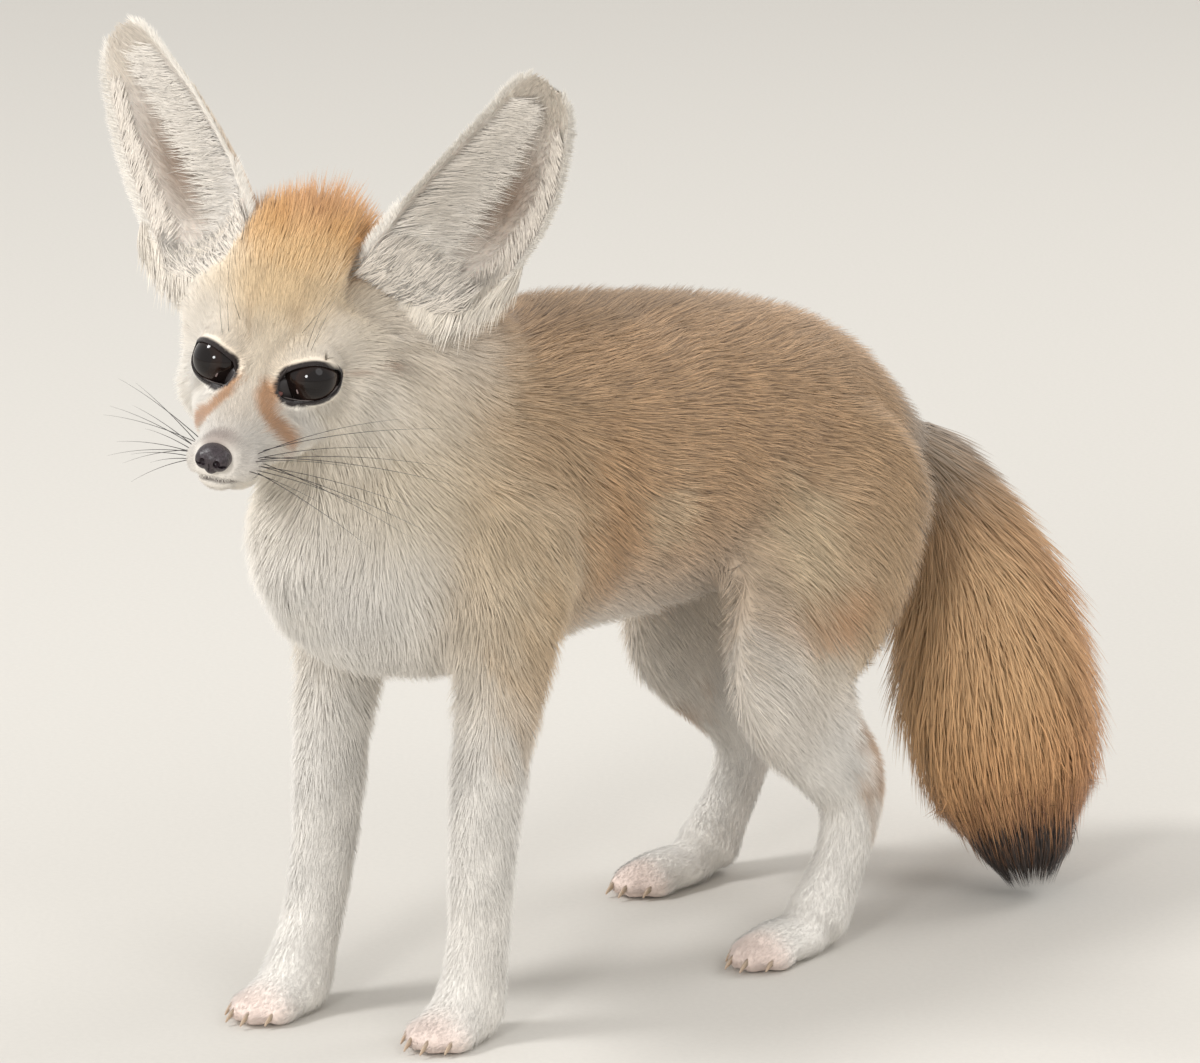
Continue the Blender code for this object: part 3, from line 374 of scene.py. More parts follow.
# Coat, as a groom would chart it: at each place its reach, the lie of the hair, its depth off the
# skin, its length, how much it is banded light and dark, and its colour. What lies between places
# blends them, and one off the mid-line counts on both sides. H rows are in the head's axes.
WHITE = "#f7f2ea"
IVORY = "#f6ecdc"
CREAM = "#f2e2c6"
BUFF = "#d0aa80"
FAWN = "#bc9974"
GREY = "#a09283"
PLACES = (
    ("F", (0, -98, 225), 40, (0, 1, 0), 4.5, 9.5, 0.9, FAWN),
    ("F", (0, -20, 222), 50, (0, 1, 0), 4.5, 9.5, 1.0, FAWN),
    ("F", (0, 60, 203), 40, (0, 0.9, -0.4), 4.5, 9.5, 1.0, FAWN),
    ("F", (0, 112, 165), 26, (0, 0.5, -0.9), 6, 16, 0.7, GREY),
    ("F", (46, -45, 178), 40, (0, 1, -0.35), 4.5, 9.5, 1.0, "#c9a47d"),
    ("F", (46, -40, 140), 30, (0, 0.9, -0.5), 4.5, 9.5, 0.7, BUFF),
    ("F", (42, 40, 172), 36, (0, 0.9, -0.45), 4.5, 9.5, 1.0, "#c4a07a"),
    ("F", (46, -102, 180), 31, (0.1, 0.8, -0.6), 4.5, 9.5, 0.7, "#c7a47c"),
    ("F", (46, -110, 145), 28, (0, 0.6, -0.9), 4.5, 11, 0.4, "#dcc3a0"),
    ("F", (44, -92, 118), 20, (0, 0.5, -0.9), 4, 10, 0.4, "#cfae84"),
    ("F", (0, -60, 108), 34, (0, 0.9, -0.4), 5, 10.5, 0.1, WHITE),
    ("F", (30, -25, 114), 26, (0, 0.9, -0.5), 5, 10.5, 0.3, "#ddd3c6"),
    ("F", (0, 20, 116), 30, (0, 0.8, -0.6), 5, 10.5, 0.1, WHITE),
    ("F", (0, -176, 150), 26, (0, -0.1, -1), 5, 10.5, 0.0, WHITE),
    ("F", (26, -165, 150), 22, (0.1, 0.2, -1), 4.5, 9.5, 0.0, WHITE),
    ("F", (0, -150, 120), 26, (0, 0.5, -0.9), 4.5, 12, 0.0, WHITE),
    ("F", (0, -186, 184), 22, (0, -0.1, -1), 7, 13, 0.0, IVORY),
    ("F", (34, -154, 190), 28, (0.1, 0.5, -0.9), 5, 10, 0.0, CREAM),
    ("F", (38, -122, 205), 25, (0.1, 0.8, -0.6), 5, 10, 0.25, "#d8bd98"),
    ("F", (0, -124, 238), 17, (0, 0.9, -0.3), 5.5, 11, 0.4, "#c89a6c"),
    ("F", (34, -138, 213), 20, (0.2, 0.6, -0.8), 5.5, 12, 0.0, "#f6ebdb"),
    ("F", (44, 52, 140), 30, (0, 0.6, -0.9), 5, 13, 0.6, "#c8a67f"),
    ("F", (36, 98, 142), 24, (0, 0.5, -1), 6.5, 18, 0.5, "#b9ab9b"),
    ("F", (44, 12, 130), 24, (0, 0.5, -0.9), 4.5, 12, 0.4, "#cfb089"),
    ("H", (36, 0, -9.5), 7, (-1, 0, 0.3), 0.4, 2.2, 0.4, "#cfc6bb"),
    ("H", (34, 7, -17), 7, (-1, 0.3, -0.2), 0.5, 2.8, 0.3, "#e3ddd5"),
    ("H", (24, 10, -17), 8, (-1, 0.35, -0.2), 0.7, 3.8, 0.2, "#e9e3da"),
    ("H", (35, 0, -26), 7, (-1, 0, -0.3), 0.6, 3.0, 0.0, "#e9e2d8"),
    ("H", (22, 6, -28), 9, (-1, 0.1, -0.3), 1.0, 4, 0.0, IVORY),
    ("H", (18, 0, -5), 8, (-1, 0, 0.45), 0.7, 3.6, 0.4, "#e0d3c2"),
    ("H", (3, 0, 6), 9, (-0.8, 0, 0.8), 1.1, 5, 0.3, "#e2cfb2"),
    ("H", (3, 7, 3), 7, (-0.7, 0.35, 0.9), 1.0, 4.6, 0.4, "#e9ded0"),
    ("H", (5, 17, -12), 8, (-0.9, 0.5, -0.35), 1.2, 5, 0.0, WHITE),
    ("H", (8, 10, -8), 6, (-0.9, 0.5, -0.1), 0.8, 3.6, 0.0, "#ece3d6"),
    ("H", (8, 12, -24), 9, (-1, 0.3, -0.4), 2.0, 7, 0.0, "#efe8de"),
    ("H", (-6, 20, -25), 9, (-0.9, 0.3, -0.4), 3.0, 9, 0.0, IVORY),
    ("H", (-16, 31, -9), 12, (-0.9, 0.35, -0.4), 3.2, 9, 0.0, WHITE),
    ("H", (-30, 38, -14), 13, (-0.85, 0.25, -0.5), 6, 15, 0.0, IVORY),
    ("H", (-22, 22, -28), 14, (-0.9, 0.1, -0.6), 5, 13, 0.0, IVORY),
    ("H", (-24, 24, 21), 8, (-0.6, 0.6, 0.5), 2.4, 7, 0.0, "#f0e4d2"),
    ("H", (-30, 36, 17), 9, (-0.7, 0.5, -0.3), 3.0, 9, 0.0, "#f0e8dc"),
    ("H", (-42, 37, 8), 11, (-0.9, 0.3, -0.4), 5, 12, 0.0, "#eee3d3"),
    ("H", (-50, 30, 24), 12, (-1, 0.3, -0.5), 5, 12, 0.0, "#eee2cf"),
    ("H", (-50, 46, 10), 14, (-0.9, 0.2, -0.6), 6, 14, 0.0, "#f2eadf"),
    ("H", (-42, 40, 20), 12, (-0.8, 0.4, -0.5), 5, 12, 0.0, "#f3ece1"),
    ("H", (-48, 34, 2), 14, (-1, 0.1, -0.35), 4.5, 9.5, 0.1, CREAM),
    ("H", (-6, 18, 12), 7, (-0.7, 0.5, 0.7), 1.0, 4.6, 0.1, "#f1e7d8"),
    ("H", (-17, 29, 8), 10, (-0.95, 0.3, 0.15), 2.2, 7, 0.0, "#f0e5d5"),
    ("H", (-7, 7, 20), 9, (-0.75, 0.1, 0.85), 1.6, 6.5, 0.3, "#ebcda1"),
    ("H", (-17, 9, 32), 11, (-0.95, 0, 0.5), 2.4, 8, 0.3, "#e7bf8a"),
    ("H", (-15, 21, 24), 10, (-0.8, 0.3, 0.6), 2.0, 7, 0.1, "#ecd9bb"),
    ("H", (-30, 8, 43), 11, (-1, 0, 0.6), 4, 10, 0.2, "#dfac72"),
    ("H", (-44, 0, 46), 13, (-1, 0, 0.8), 6.5, 12, 0.2, "#d5a274"),
    ("H", (-60, 0, 38), 15, (-1, 0, 0.2), 6, 15, 0.3, "#c88a58"),
    ("H", (0, 0, -30), 12, (-0.9, 0, -0.5), 3, 8, 0.0, IVORY),
)
LEG_COAT = ((4.5, 10), (4, 9), (3.4, 8), (2.6, 7), (2.1, 6), (1.8, 5.5), (1.6, 5), (1.4, 4.2),
            (1.2, 3.6))
LEG_BANDING = 0.3
LEG_BANDED_DEPTH = 4
THIGH_LIE = (0, 0.45, -1)
THIGH_ROWS = 4
FORELEG_COLOURS = ("#e4d2b6", "#ebdfcb", "#f0e8dc", WHITE, WHITE, WHITE, WHITE, WHITE, WHITE)
HINDLEG_COLOURS = ("#c8a67f", "#d2b996", "#ecdfcb", "#f1e9de", WHITE, WHITE, WHITE, WHITE, WHITE)
LEG_REACH = (24, 20, 18, 15, 13, 12, 11, 11, 10)
PAW_REACH = 9
PAW_COAT = ((0.0, 1.1, 3.4, WHITE), (0.46, 0.9, 4.0, "#ead6cb"))
PAW_LIE_DOWN = 0.3


def linear(colour):
    """An sRGB hex value as linear red, green and blue."""
    value = np.array([int(colour[i : i + 2], 16) for i in (1, 3, 5)]) / 255
    return np.where(value <= 0.04045, value / 12.92, ((value + 0.055) / 1.055) ** 2.4)


def chart():
    """Rows of point, reach, lie, depth, length, banding and colour: the places and the legs."""
    rows = []

    def add(point, reach, lie, *rest):
        rows.append(np.concatenate([point, [reach], unit(np.asarray(lie, float)), *rest]))

    for frame_of, point, reach, lie, depth, length, banding, colour in PLACES:
        rest = ([depth, length, banding], linear(colour))
        for side in (1, -1):
            if frame_of == "F":
                mirror = np.array([side, 1, 1])
                add(point * mirror, reach, lie * mirror, *rest)
            else:
                mirror = np.array([1, side, 1])
                add(on_head(point * mirror), reach, (lie * mirror) @ HEAD, *rest)
    for leg, stations in LEGS.items():
        fore = leg.startswith("fore")
        stations = np.array(stations, float)
        down = np.gradient(stations[:, :3], axis=0)
        if not fore:
            down[:THIGH_ROWS] = THIGH_LIE
        colours = FORELEG_COLOURS if fore else HINDLEG_COLOURS
        rows_down = zip(stations, down, LEG_REACH, LEG_COAT, colours)
        for station, lie, reach, (depth, length), colour in rows_down:
            banding = LEG_BANDING if depth > LEG_BANDED_DEPTH else 0.0
            add(station[:3], reach, lie, [depth, length, banding], linear(colour))
        (x, y), _, long, _ = PAWS[leg]
        ahead, _ = paw_axes(leg)
        for share, depth, length, colour in PAW_COAT:
            at = np.array([x, y, TOE_RADIUS]) + ahead * long * share
            add(at, PAW_REACH, ahead - PAW_LIE_DOWN * Z, [depth, length, 0], linear(colour))
    return np.array(rows)


CHART = chart()
LIE, DEPTH, LENGTH, BANDING, COLOUR = slice(0, 3), 3, 4, 5, slice(6, 9)
BATCH = 20000
FAR_CAP = 40
FAR_PULL = 1e-7


def coat_at(points):
    """What the chart says at each point: lie, depth, length, banding and colour.

    A faint pull of every place keeps a coat on points that lie far from all of them.
    """
    found = []
    for start in range(0, len(points), BATCH):
        part = points[start : start + BATCH, None] - CHART[None, :, :3]
        near = (part**2).sum(-1) / CHART[:, 3] ** 2
        weight = np.exp(-np.minimum(near, FAR_CAP)) + FAR_PULL / (0.1 + near)
        found.append(weight @ CHART[:, 4:] / weight.sum(1, keepdims=True))
    return np.vstack(found)


body_points = points_of(skin.data)
set_points(skin.data, body_points - normals_of(skin.data) * coat_at(body_points)[:, DEPTH, None])

# Skin of the head. A fennec's skull is short and broad, with a fine muzzle, full cheeks and wide
# bosses that carry the ears. Its hide is thin and close, so it is made on a finer grid: lids drawn
# over the eyeballs, a flat seat pressed for each ear, and the line of the mouth pressed in.
HEAD_GRID = 0.95
SKULL = (
    (40, -18, 5, 5.8),
    (37, -18.6, 8, 8.4),
    (29, -18.6, 9.6, 9.8),
    (20, -17.8, 12, 11.8),
    (12, -16.2, 15, 13.8),
    (6, -13.8, 18.5, 16.3),
    (0, -10, 22.5, 20),
    (-8, -3.5, 27.5, 25.5),
    (-16, 1.5, 32, 30.5),
    (-26, 6, 36, 35),
    (-40, 10, 37, 37),
    (-54, 10, 31, 32),
    (-63, 5, 10.5, 20),
)
CHEEK = ((-28, 17, -13), (24, 17, 18))
WHISKER_PAD = ((29, 6.5, -20), (8.5, 5.2, 6))
BROW = ((-6, 13, 6.5), (9.5, 9, 5.5))
JAW = ((15, 3, -25), (17, 8, 7.5))
CHIN = ((32.5, 1, -23.5), (6.2, 5, 5.4))
EAR_BOSS = ((-34, 24, 14), (15, 17, 17))
EAR_RUFF = ((-46, 34, 12), (11, 14, 15))
EYE_OUT = 33
EYE_UP = 6
LID_SLANT = 20
SLIT = (8.8, 6.5, 5.7, 5.5, 5.8, 6.6, 8.2, 10.2, 12.4, 9.8, 7.4, 6.2, 5.9, 6.2, 7.2, 8.6)
LID_THICK = 0.9
LOW_ON_EYE = 0.4
DENT_LONG = 1.25
DENT_FULL = 8.8
DENT_END = 14.5
MUZZLE_FRONT = 38.4
MUZZLE_BLUNT = 0.85
MOUTH = ((37.5, -23.4), (34, -24.2), (26, -25.2), (17, -25.2), (9, -24), (4, -22))
MOUTH_DEEP = 0.7
MOUTH_WIDE = 0.75
LIP_FULL = 0.25
LIP_APART = 2.0
LIP_SOFT = 1.2
BESIDE_HEAD = 60
SIDES = {"left": 1, "right": -1}
EAR_LENGTH = 90.5
EAR_BASE = (-31, 27, 17)
EARS = {
    "ear_left": {"side": 1, "out": 27.6, "back": -2.5, "turn": 16, "sway": 1.6},
    "ear_right": {"side": -1, "out": 35.6, "back": 37, "turn": 15, "sway": 0.5},
}
EAR_SHAPE = (
    (0.00, 14.0, 12.0, 24, 0.0),
    (0.10, 16.5, 13.5, 14, 1.4),
    (0.20, 19.0, 14.0, 4, 3.0),
    (0.36, 20.3, 13.0, 0, 4.2),
    (0.52, 19.4, 11.0, 0, 4.4),
    (0.67, 17.4, 8.5, 0, 4.0),
    (0.81, 13.9, 5.5, 0, 2.8),
    (0.91, 11.2, 3.2, 0, 1.5),
    (0.97, 8.8, 1.8, 0, 0.6),
    (1.00, 6.2, 1.1, 0, 0.0),
)
EAR_SEAT = -2.0
EAR_SEAT_ASIDE = 3
EAR_SEAT_ASIDE_SOFT = 5
EAR_SEAT_BEHIND = -10
EAR_SEAT_BEHIND_SOFT = 4
EAR_SEAT_AHEAD = 26
EAR_SEAT_AHEAD_SOFT = 12
CUT_SPAN = (0.3, 3)
SOCKET_GAP = 0.1
SOLES_UP = 0.3


def eye_axes(side):
    """Where the eye looks, outwards along the slit between its lids, and up across it."""
    out, up, slant = (math.radians(a) for a in (EYE_OUT, EYE_UP, LID_SLANT))
    gaze = (FORWARD * math.cos(out) + LEFT * side * math.sin(out)) * math.cos(up) + UP * math.sin(up)
    along = unit(LEFT * side * math.cos(out) - FORWARD * math.sin(out))
    across = np.cross(gaze, along) * side
    slit = along * math.cos(slant) + across * math.sin(slant)
    return gaze, slit, across * math.cos(slant) - along * math.sin(slant)


def eye_centre(side):
    return on_head(EYE_AT * (1, side, 1))


def ear_axes(name):
    """The ear's length, its width from the inner to the outer edge, and where its cup opens."""
    side = EARS[name]["side"]
    out, back, turn = (math.radians(EARS[name][k]) for k in ("out", "back", "turn"))
    upright = UP * math.cos(back) - FORWARD * math.sin(back)
    length = LEFT * side * math.sin(out) + upright * math.cos(out)
    opening = FORWARD * math.cos(turn) + LEFT * side * math.sin(turn)
    opening = unit(opening - length * (opening @ length))
    return length, np.cross(length, opening) * side, opening


SLIT_CURVE = smooth_rows([(2 * math.pi * i / len(SLIT), SLIT[i % len(SLIT)])
                          for i in range(-2, len(SLIT) + 3)], steps=4)


def slit_reach(angle):
    """How far the slit reaches from the eye's axis, by the angle from its outer corner."""
    return np.interp(np.mod(angle, 2 * math.pi), *SLIT_CURVE.T)


def slit_outline(inset=0.0, start=0.0, end=1.0, count=64):
    """The slit between the lids, along and across it from the eye's axis, or a part of it."""
    angles = 2 * math.pi * (start + (end - start) * np.arange(count) / count)
    return np.column_stack([np.cos(angles), np.sin(angles)]) * (slit_reach(angles) - inset)[:, None]


def on_eye(side, outline, lift):
    """Points of an outline laid on the eyeball, lifted off it."""
    gaze, along, across = eye_axes(side)
    inside = EYE_RADIUS**2 - (outline**2).sum(1)
    rise = np.sqrt(np.maximum(inside, (LOW_ON_EYE * EYE_RADIUS) ** 2)) + lift
    return eye_centre(side) + rise[:, None] * gaze + outline[:, :1] * along + outline[:, 1:] * across


def triangles_of(mesh):
    mesh.calc_loop_triangles()
    corners = np.empty(len(mesh.loop_triangles) * 3, np.int32)
    mesh.loop_triangles.foreach_get("vertices", corners)
    return corners.reshape(-1, 3)


def tree_of(mesh):
    """For finding the nearest place on a mesh, in the fox's millimetres."""
    return BVHTree.FromPolygons([Vector(p) for p in points_of(mesh)], triangles_of(mesh).tolist())


def eased(share):
    """A share from 0 to 1, with soft ends."""
    return share**2 * (3 - 2 * share)


skull = [(*on_head((forward, 0, up)), wide, high) for forward, up, wide, high in SKULL]
head_pieces = [loft(skull, 48, LEFT, along=-FORWARD)]
for side in SIDES.values():
    for centre, radii in (CHEEK, WHISKER_PAD, BROW, JAW, CHIN, EAR_BOSS, EAR_RUFF):
        head_pieces.append(ball(on_head(np.array(centre) * (1, side, 1)), radii, HEAD))
head_skin = fused("head_skin", head_pieces, HEAD_GRID, smoothing=9)
points = points_of(head_skin.data)
points -= normals_of(head_skin.data) * coat_at(points)[:, DEPTH, None]
for side in SIDES.values():
    gaze, along, across = eye_axes(side)
    from_eye = points - eye_centre(side)
    aside = np.hypot(from_eye @ along / DENT_LONG, from_eye @ across)
    share = np.clip(1 - (aside - DENT_FULL) / (DENT_END - DENT_FULL), 0, 1)
    share = (eased(share) * (from_eye @ gaze > 0))[:, None]
    points += share * (unit(from_eye) * (EYE_RADIUS + LID_THICK) - from_eye)
for name in EARS:
    length, width, opening = ear_axes(name)
    away = points - on_head(np.array(EAR_BASE) * (1, EARS[name]["side"], 1))
    high, aside, ahead = away @ length, away @ width, away @ opening
    half = np.interp(high / EAR_LENGTH, *np.array(EAR_SHAPE).T[:2])
    share = np.clip((half + EAR_SEAT_ASIDE - np.abs(aside)) / EAR_SEAT_ASIDE_SOFT, 0, 1)
    share = share * np.clip((ahead - EAR_SEAT_BEHIND) / EAR_SEAT_BEHIND_SOFT, 0, 1)
    share *= np.clip((EAR_SEAT_AHEAD - ahead) / EAR_SEAT_AHEAD_SOFT, 0, 1)
    points -= length * (share * np.maximum(high - EAR_SEAT, 0))[:, None]
past = np.maximum(in_head(points)[:, :1] - MUZZLE_FRONT, 0)
points -= FORWARD * past * MUZZLE_BLUNT
set_points(head_skin.data, points)
head_tree = tree_of(head_skin.data)


def mouth_line(side):
    """The line where the lips meet on one side, from the front of the muzzle to its corner."""
    line = []
    for forward, up in smooth_rows(MOUTH, 4):
        start = Vector(on_head((forward, BESIDE_HEAD * side, up)))
        hit = head_tree.ray_cast(start, Vector(-LEFT * side))[0]
        if hit:
            line.append(np.array(hit))
    return np.array(line)


before_head = Vector(on_head((BESIDE_HEAD, 0, MOUTH[0][1])))
mouth_front = np.array(head_tree.ray_cast(before_head, Vector(-FORWARD))[0])
mouth = np.vstack([mouth_line(-1)[::-1], mouth_front, mouth_line(1)])


def from_line(points, line):
    """Distance of each point to the nearest part of a line."""
    best = np.full(len(points), 1e9)
    for a, b in zip(line, line[1:]):
        run = b - a
        share = np.clip((points - a) @ run / (run @ run), 0, 1)
        best = np.minimum(best, np.linalg.norm(points - a - share[:, None] * run, axis=1))
    return best


apart = from_line(points, mouth)
pressed = (LIP_FULL * np.exp(-((apart - LIP_APART) / LIP_SOFT) ** 2)
           - MOUTH_DEEP * np.exp(-((apart / MOUTH_WIDE) ** 2)))
set_points(head_skin.data, points + normals_of(head_skin.data) * pressed[:, None])
combined(skin, [head_skin], "UNION")
cutters = []
for side in SIDES.values():
    gaze, along, across = eye_axes(side)
    outline = slit_outline(inset=0.3)
    prism = [eye_centre(side) + gaze * depth + outline[:, :1] * along + outline[:, 1:] * across
             for depth in (EYE_RADIUS * CUT_SPAN[0], EYE_RADIUS * CUT_SPAN[1])]
    faces = tube_faces(2, len(outline))
    if side < 0:
        faces = [f[::-1] for f in faces]
    cutters.append(new_object("slit", np.vstack(prism), faces))
    socket = ball(eye_centre(side), [EYE_RADIUS + SOCKET_GAP] * 3, HEAD, sides=48)
    cutters.append(new_object("socket", *socket))
combined(skin, cutters, "DIFFERENCE")
points = points_of(skin.data)
points[:, 2] = np.maximum(points[:, 2], SOLES_UP)
set_points(skin.data, points)

# Colour of the hide and the coat. A fennec is pale buff above, each hair banded, and white below,
# with orange on the crown, shoulder line and thighs. Each marking is a soft ellipsoid with a ragged
# edge, laid over the chart's colours. F rows are in the fox's axes, H rows in the head's, mirrored.
MARKINGS = (
    ("F", (0, -20, 226), (24, 120, 15), "#93785a", 0.55, 0.5),
    ("F", (47, -76, 142), (14, 11, 38), "#c7935f", 0.5, 0.8),
    ("F", (49, -52, 150), (12, 13, 18), "#e3d0b0", 0.55, 0.5),
    ("F", (46, 8, 142), (12, 14, 20), "#e2cfae", 0.5, 0.6),
    ("F", (40, -20, 120), (20, 26, 12), "#b9a690", 0.35, 0.5),
    ("F", (47, 24, 114), (14, 24, 9), "#c98f58", 0.6, 0.7),
    ("F", (46, -8, 92), (16, 12, 20), "#f2eadf", 0.7, 0.5),
    ("F", (48, 40, 100), (14, 12, 18), "#d9c2a0", 0.5, 0.6),
    ("F", (50, 44, 64), (14, 12, 25), "#b58655", 0.75, 0.6),
    ("F", (32, 100, 150), (22, 22, 26), "#a39688", 0.6, 0.6),
    ("F", (48, -112, 118), (9, 16, 32), "#cba97e", 0.5, 0.5),
    ("F", (40, -100, 200), (16, 22, 22), "#ab8b69", 0.4, 0.6),
    ("H", (-36, 0, 46), (16, 16, 10), "#cf9761", 0.5, 0.7),
    ("H", (-26, 12, 35), (9, 6, 8), "#dca560", 0.5, 0.6),
    ("H", (37, 0, -11), (5, 4.6, 3), "#8b7c75", 0.5, 0.7),
    ("H", (33, 7.5, -19), (4, 4, 4), "#cfc5ba", 0.4, 0.6),
    ("H", (-24, 35, 5), (4, 4, 1.6), "#7b6655", 0.35, 0.4),
    # Darker grey at each corner of the mouth: painted shade in the corner.
    ("H", (2, 10.5, -23.5), (4, 3.4, 3), "#8d8077", 0.6, 0.5),
)
STREAKS = (
    (((5, 8, -2.5), (10, 5.6, -4.2), (15.2, 5.8, -7), (18.5, 8, -10.6), (12.5, 11.6, -13.8)),
     2.7, "#b97c40", 0.78),
    (((12.5, 11.6, -13.8), (9.5, 11.6, -19)), 1.4, "#cda084", 0.55),
    (((4, 5, 4), (-1, 6.3, 8), (-6, 6.8, 15), (-12, 6, 24)), 0.9, "#b39878", 0.3),
    (((-11, 22.5, 1.8), (-15, 26, 3), (-22, 30.5, 4.5)), 0.9, "#a5765a", 0.5),
    (((-17.5, 24, 23.5), (-21, 29, 22.5), (-25, 33, 21)), 1.0, "#7d6357", 0.7),
)
EDGE_NOISE = 5.0
EDGE_RAGGED = 0.22
MOTTLE = 0.06
MOTTLE_SIZE = 9.0
STREAK_SOFT = 1.5
LID_DARK = "#1f1614"
LID_DARK_FULL = 2.6
LID_DARK_FALL = 1.8
LIP_DARK = "#3d312e"
LIP_DARK_FULL = 1.6
LIP_DARK_WIDE = 0.8
LIP_DARK_SHARE = 0.9
TAIL_TONES = ((0.0, "#a89a8b"), (0.12, "#ad9b88"), (0.24, "#c4a07b"), (0.4, "#e6bf92"),
              (0.66, "#e7b986"), (0.8, "#dda873"), (0.87, "#966846"), (0.91, "#33261d"),
              (1.0, "#1d1815"))
BRUSH_FROM = 0.06
BRUSH_FADE = 0.1
BRUSH_WITHIN = 0.75
BEHIND_RUMP = 95
NOISE_WAVES = 7
NOISE_SPREAD = (0.6, 1.5)
FACE_WITHIN = 60
COAT_SEED = 9338
rand = np.random.default_rng(COAT_SEED)


def tail_tones(shares):
    places = [place for place, _ in TAIL_TONES]
    tones = np.array([linear(colour) for _, colour in TAIL_TONES])
    return np.stack([np.interp(shares, places, channel) for channel in tones.T], axis=-1)


def noise(points, size, seed):
    """Smooth noise between about -1 and 1, its blotches about size across."""
    wave = np.random.default_rng(seed)
    ways = unit(wave.normal(size=(NOISE_WAVES, 3)))
    ways = ways * wave.uniform(*NOISE_SPREAD, (NOISE_WAVES, 1)) * math.pi / size
    waves = np.sin(points @ ways.T + wave.uniform(0, 2 * math.pi, NOISE_WAVES))
    return waves.sum(1) / math.sqrt(NOISE_WAVES)


def painted(points, colours, of_skin=False):
    """The chart's colours with the markings and mottle, and on skin the dark of lips and lids."""
    colours = colours.copy()

    def lay(colour, share):
        colours[:] += (linear(colour) - colours) * share[:, None]

    ragged = noise(points, EDGE_NOISE, seed=1) * EDGE_RAGGED
    headed = in_head(points)
    for axes, centre, radii, colour, strength, soft in MARKINGS:
        for side in (1, -1):
            if axes == "F":
                away = (points - np.array(centre) * (side, 1, 1)) / radii
            else:
                away = (headed - np.array(centre) * (1, side, 1)) / radii
            share = np.clip((1 + soft - np.linalg.norm(away, axis=1) - ragged) / (2 * soft), 0, 1)
            lay(colour, eased(share) * strength)
    colours *= (1 + MOTTLE * noise(points, MOTTLE_SIZE, seed=2))[:, None]
    close = np.linalg.norm(headed, axis=1) < FACE_WITHIN
    for line, wide, colour, strength in STREAKS:
        for side in (1, -1):
            far = from_line(headed, np.array(line) * (1, side, 1)) / wide + ragged
            lay(colour, np.clip(STREAK_SOFT - far, 0, 1) * strength * close)
    for side in SIDES.values():
        by_lid = np.clip(LID_DARK_FULL - LID_DARK_FALL * from_slit(points, side), 0, 1)
        lay(LID_DARK, by_lid * close * of_skin)
    by_lip = np.clip(LIP_DARK_FULL - from_line(points, mouth) / LIP_DARK_WIDE, 0, 1)
    lay(LIP_DARK, by_lip * LIP_DARK_SHARE * close * of_skin)
    return colours


def from_slit(points, side):
    """Rough distance outside the slit between the lids, in front of the eye only."""
    gaze, along, across = eye_axes(side)
    from_eye = points - eye_centre(side)
    a, b = from_eye @ along, from_eye @ across
    return np.where(from_eye @ gaze > 0, np.hypot(a, b) - slit_reach(np.arctan2(b, a)), 99.0)


def skin_colours(points):
    """The coat's colours on the hide, with those of the brush on the core of the tail."""
    colours = painted(points, coat_at(points)[:, COLOUR], of_skin=True)
    along, off = tail_share(points)
    brush = tail_tones(along)
    own = np.clip((along - BRUSH_FROM) / BRUSH_FADE, 0, 1)
    own = own * (off < BRUSH_WITHIN) * (points[:, 1] > BEHIND_RUMP)
    return colours + (brush - colours) * own[:, None]


def node(material, kind, inputs=(), **settings):
    """Add a node to the material: its settings by name, and its sockets' values or links."""
    added = material.node_tree.nodes.new(kind)
    for name, value in settings.items():
        if name == "stops":
            ramp = added.color_ramp.elements
            for place, colour in value[1:-1]:
                ramp.new(place)
            for element, (place, colour) in zip(ramp, value):
                element.position = place
                element.color = (*colour, 1)
        else:
            setattr(added, name, value)
    for socket, value in dict(inputs).items():
        if isinstance(value, bpy.types.NodeSocket):
            material.node_tree.links.new(value, added.inputs[socket])
        else:
            added.inputs[socket].default_value = value
    return added


def new_material(name, **finish):
    """A material and its shader. The shader's sockets are set by name, with _ for each space."""
    material = bpy.data.materials.new(name)
    material.use_nodes = True
    shader = material.node_tree.nodes["Principled BSDF"]
    for socket, value in finish.items():
        shader.inputs[socket.replace("_", " ")].default_value = value
    return material, shader


def store(mesh, name, kind, values):
    """Keep a value for each point of the mesh."""
    layer = mesh.attributes.new(name, kind, "POINT")
    if kind == "FLOAT_COLOR":
        values = np.column_stack([values, np.ones(len(values))])
    key = {"FLOAT_COLOR": "color", "FLOAT_VECTOR": "vector", "FLOAT": "value"}[kind]
    layer.data.foreach_set(key, np.ascontiguousarray(values, np.float32).ravel())


# Undercoat: the felt of short hair against the hide. It shows between the tufts only, as a soft
# matt ground of the coat's own colour, a little darker as painted shade between the tufts.
FELT_GRAIN = 0.7
FELT_LUMPS = 0.4
undercoat, shader = new_material(
    "undercoat felt", Roughness=0.9, Sheen_Weight=0.25, Sheen_Roughness=0.5)
tint = node(undercoat, "ShaderNodeAttribute", attribute_name="tint")
place = node(undercoat, "ShaderNodeTexCoord")
grain = node(undercoat, "ShaderNodeTexNoise", {
    "Vector": place.outputs["Object"], "Scale": 1 / (FELT_GRAIN * MM), "Detail": 4.0})
# A random grain that on the whole darkens the felt a little: painted shade between the tufts.
shade = node(undercoat, "ShaderNodeMapRange", {
    "Value": grain.outputs["Fac"], "To Min": 0.86, "To Max": 1.05})
felt = node(undercoat, "ShaderNodeVectorMath", {
    0: tint.outputs["Color"], 1: shade.outputs["Result"]}, operation="MULTIPLY")
bump = node(undercoat, "ShaderNodeBump", {
    "Height": grain.outputs["Fac"], "Strength": 0.5, "Distance": FELT_LUMPS * MM})
undercoat.node_tree.links.new(felt.outputs["Vector"], shader.inputs["Base Color"])
undercoat.node_tree.links.new(bump.outputs["Normal"], shader.inputs["Normal"])
store(skin.data, "tint", "FLOAT_COLOR", skin_colours(points_of(skin.data)))
skin.data.materials.append(undercoat)
skin.data.shade_smooth()
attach(skin, "root")
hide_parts("torso", "neck", "head", "tail", *LEGS)

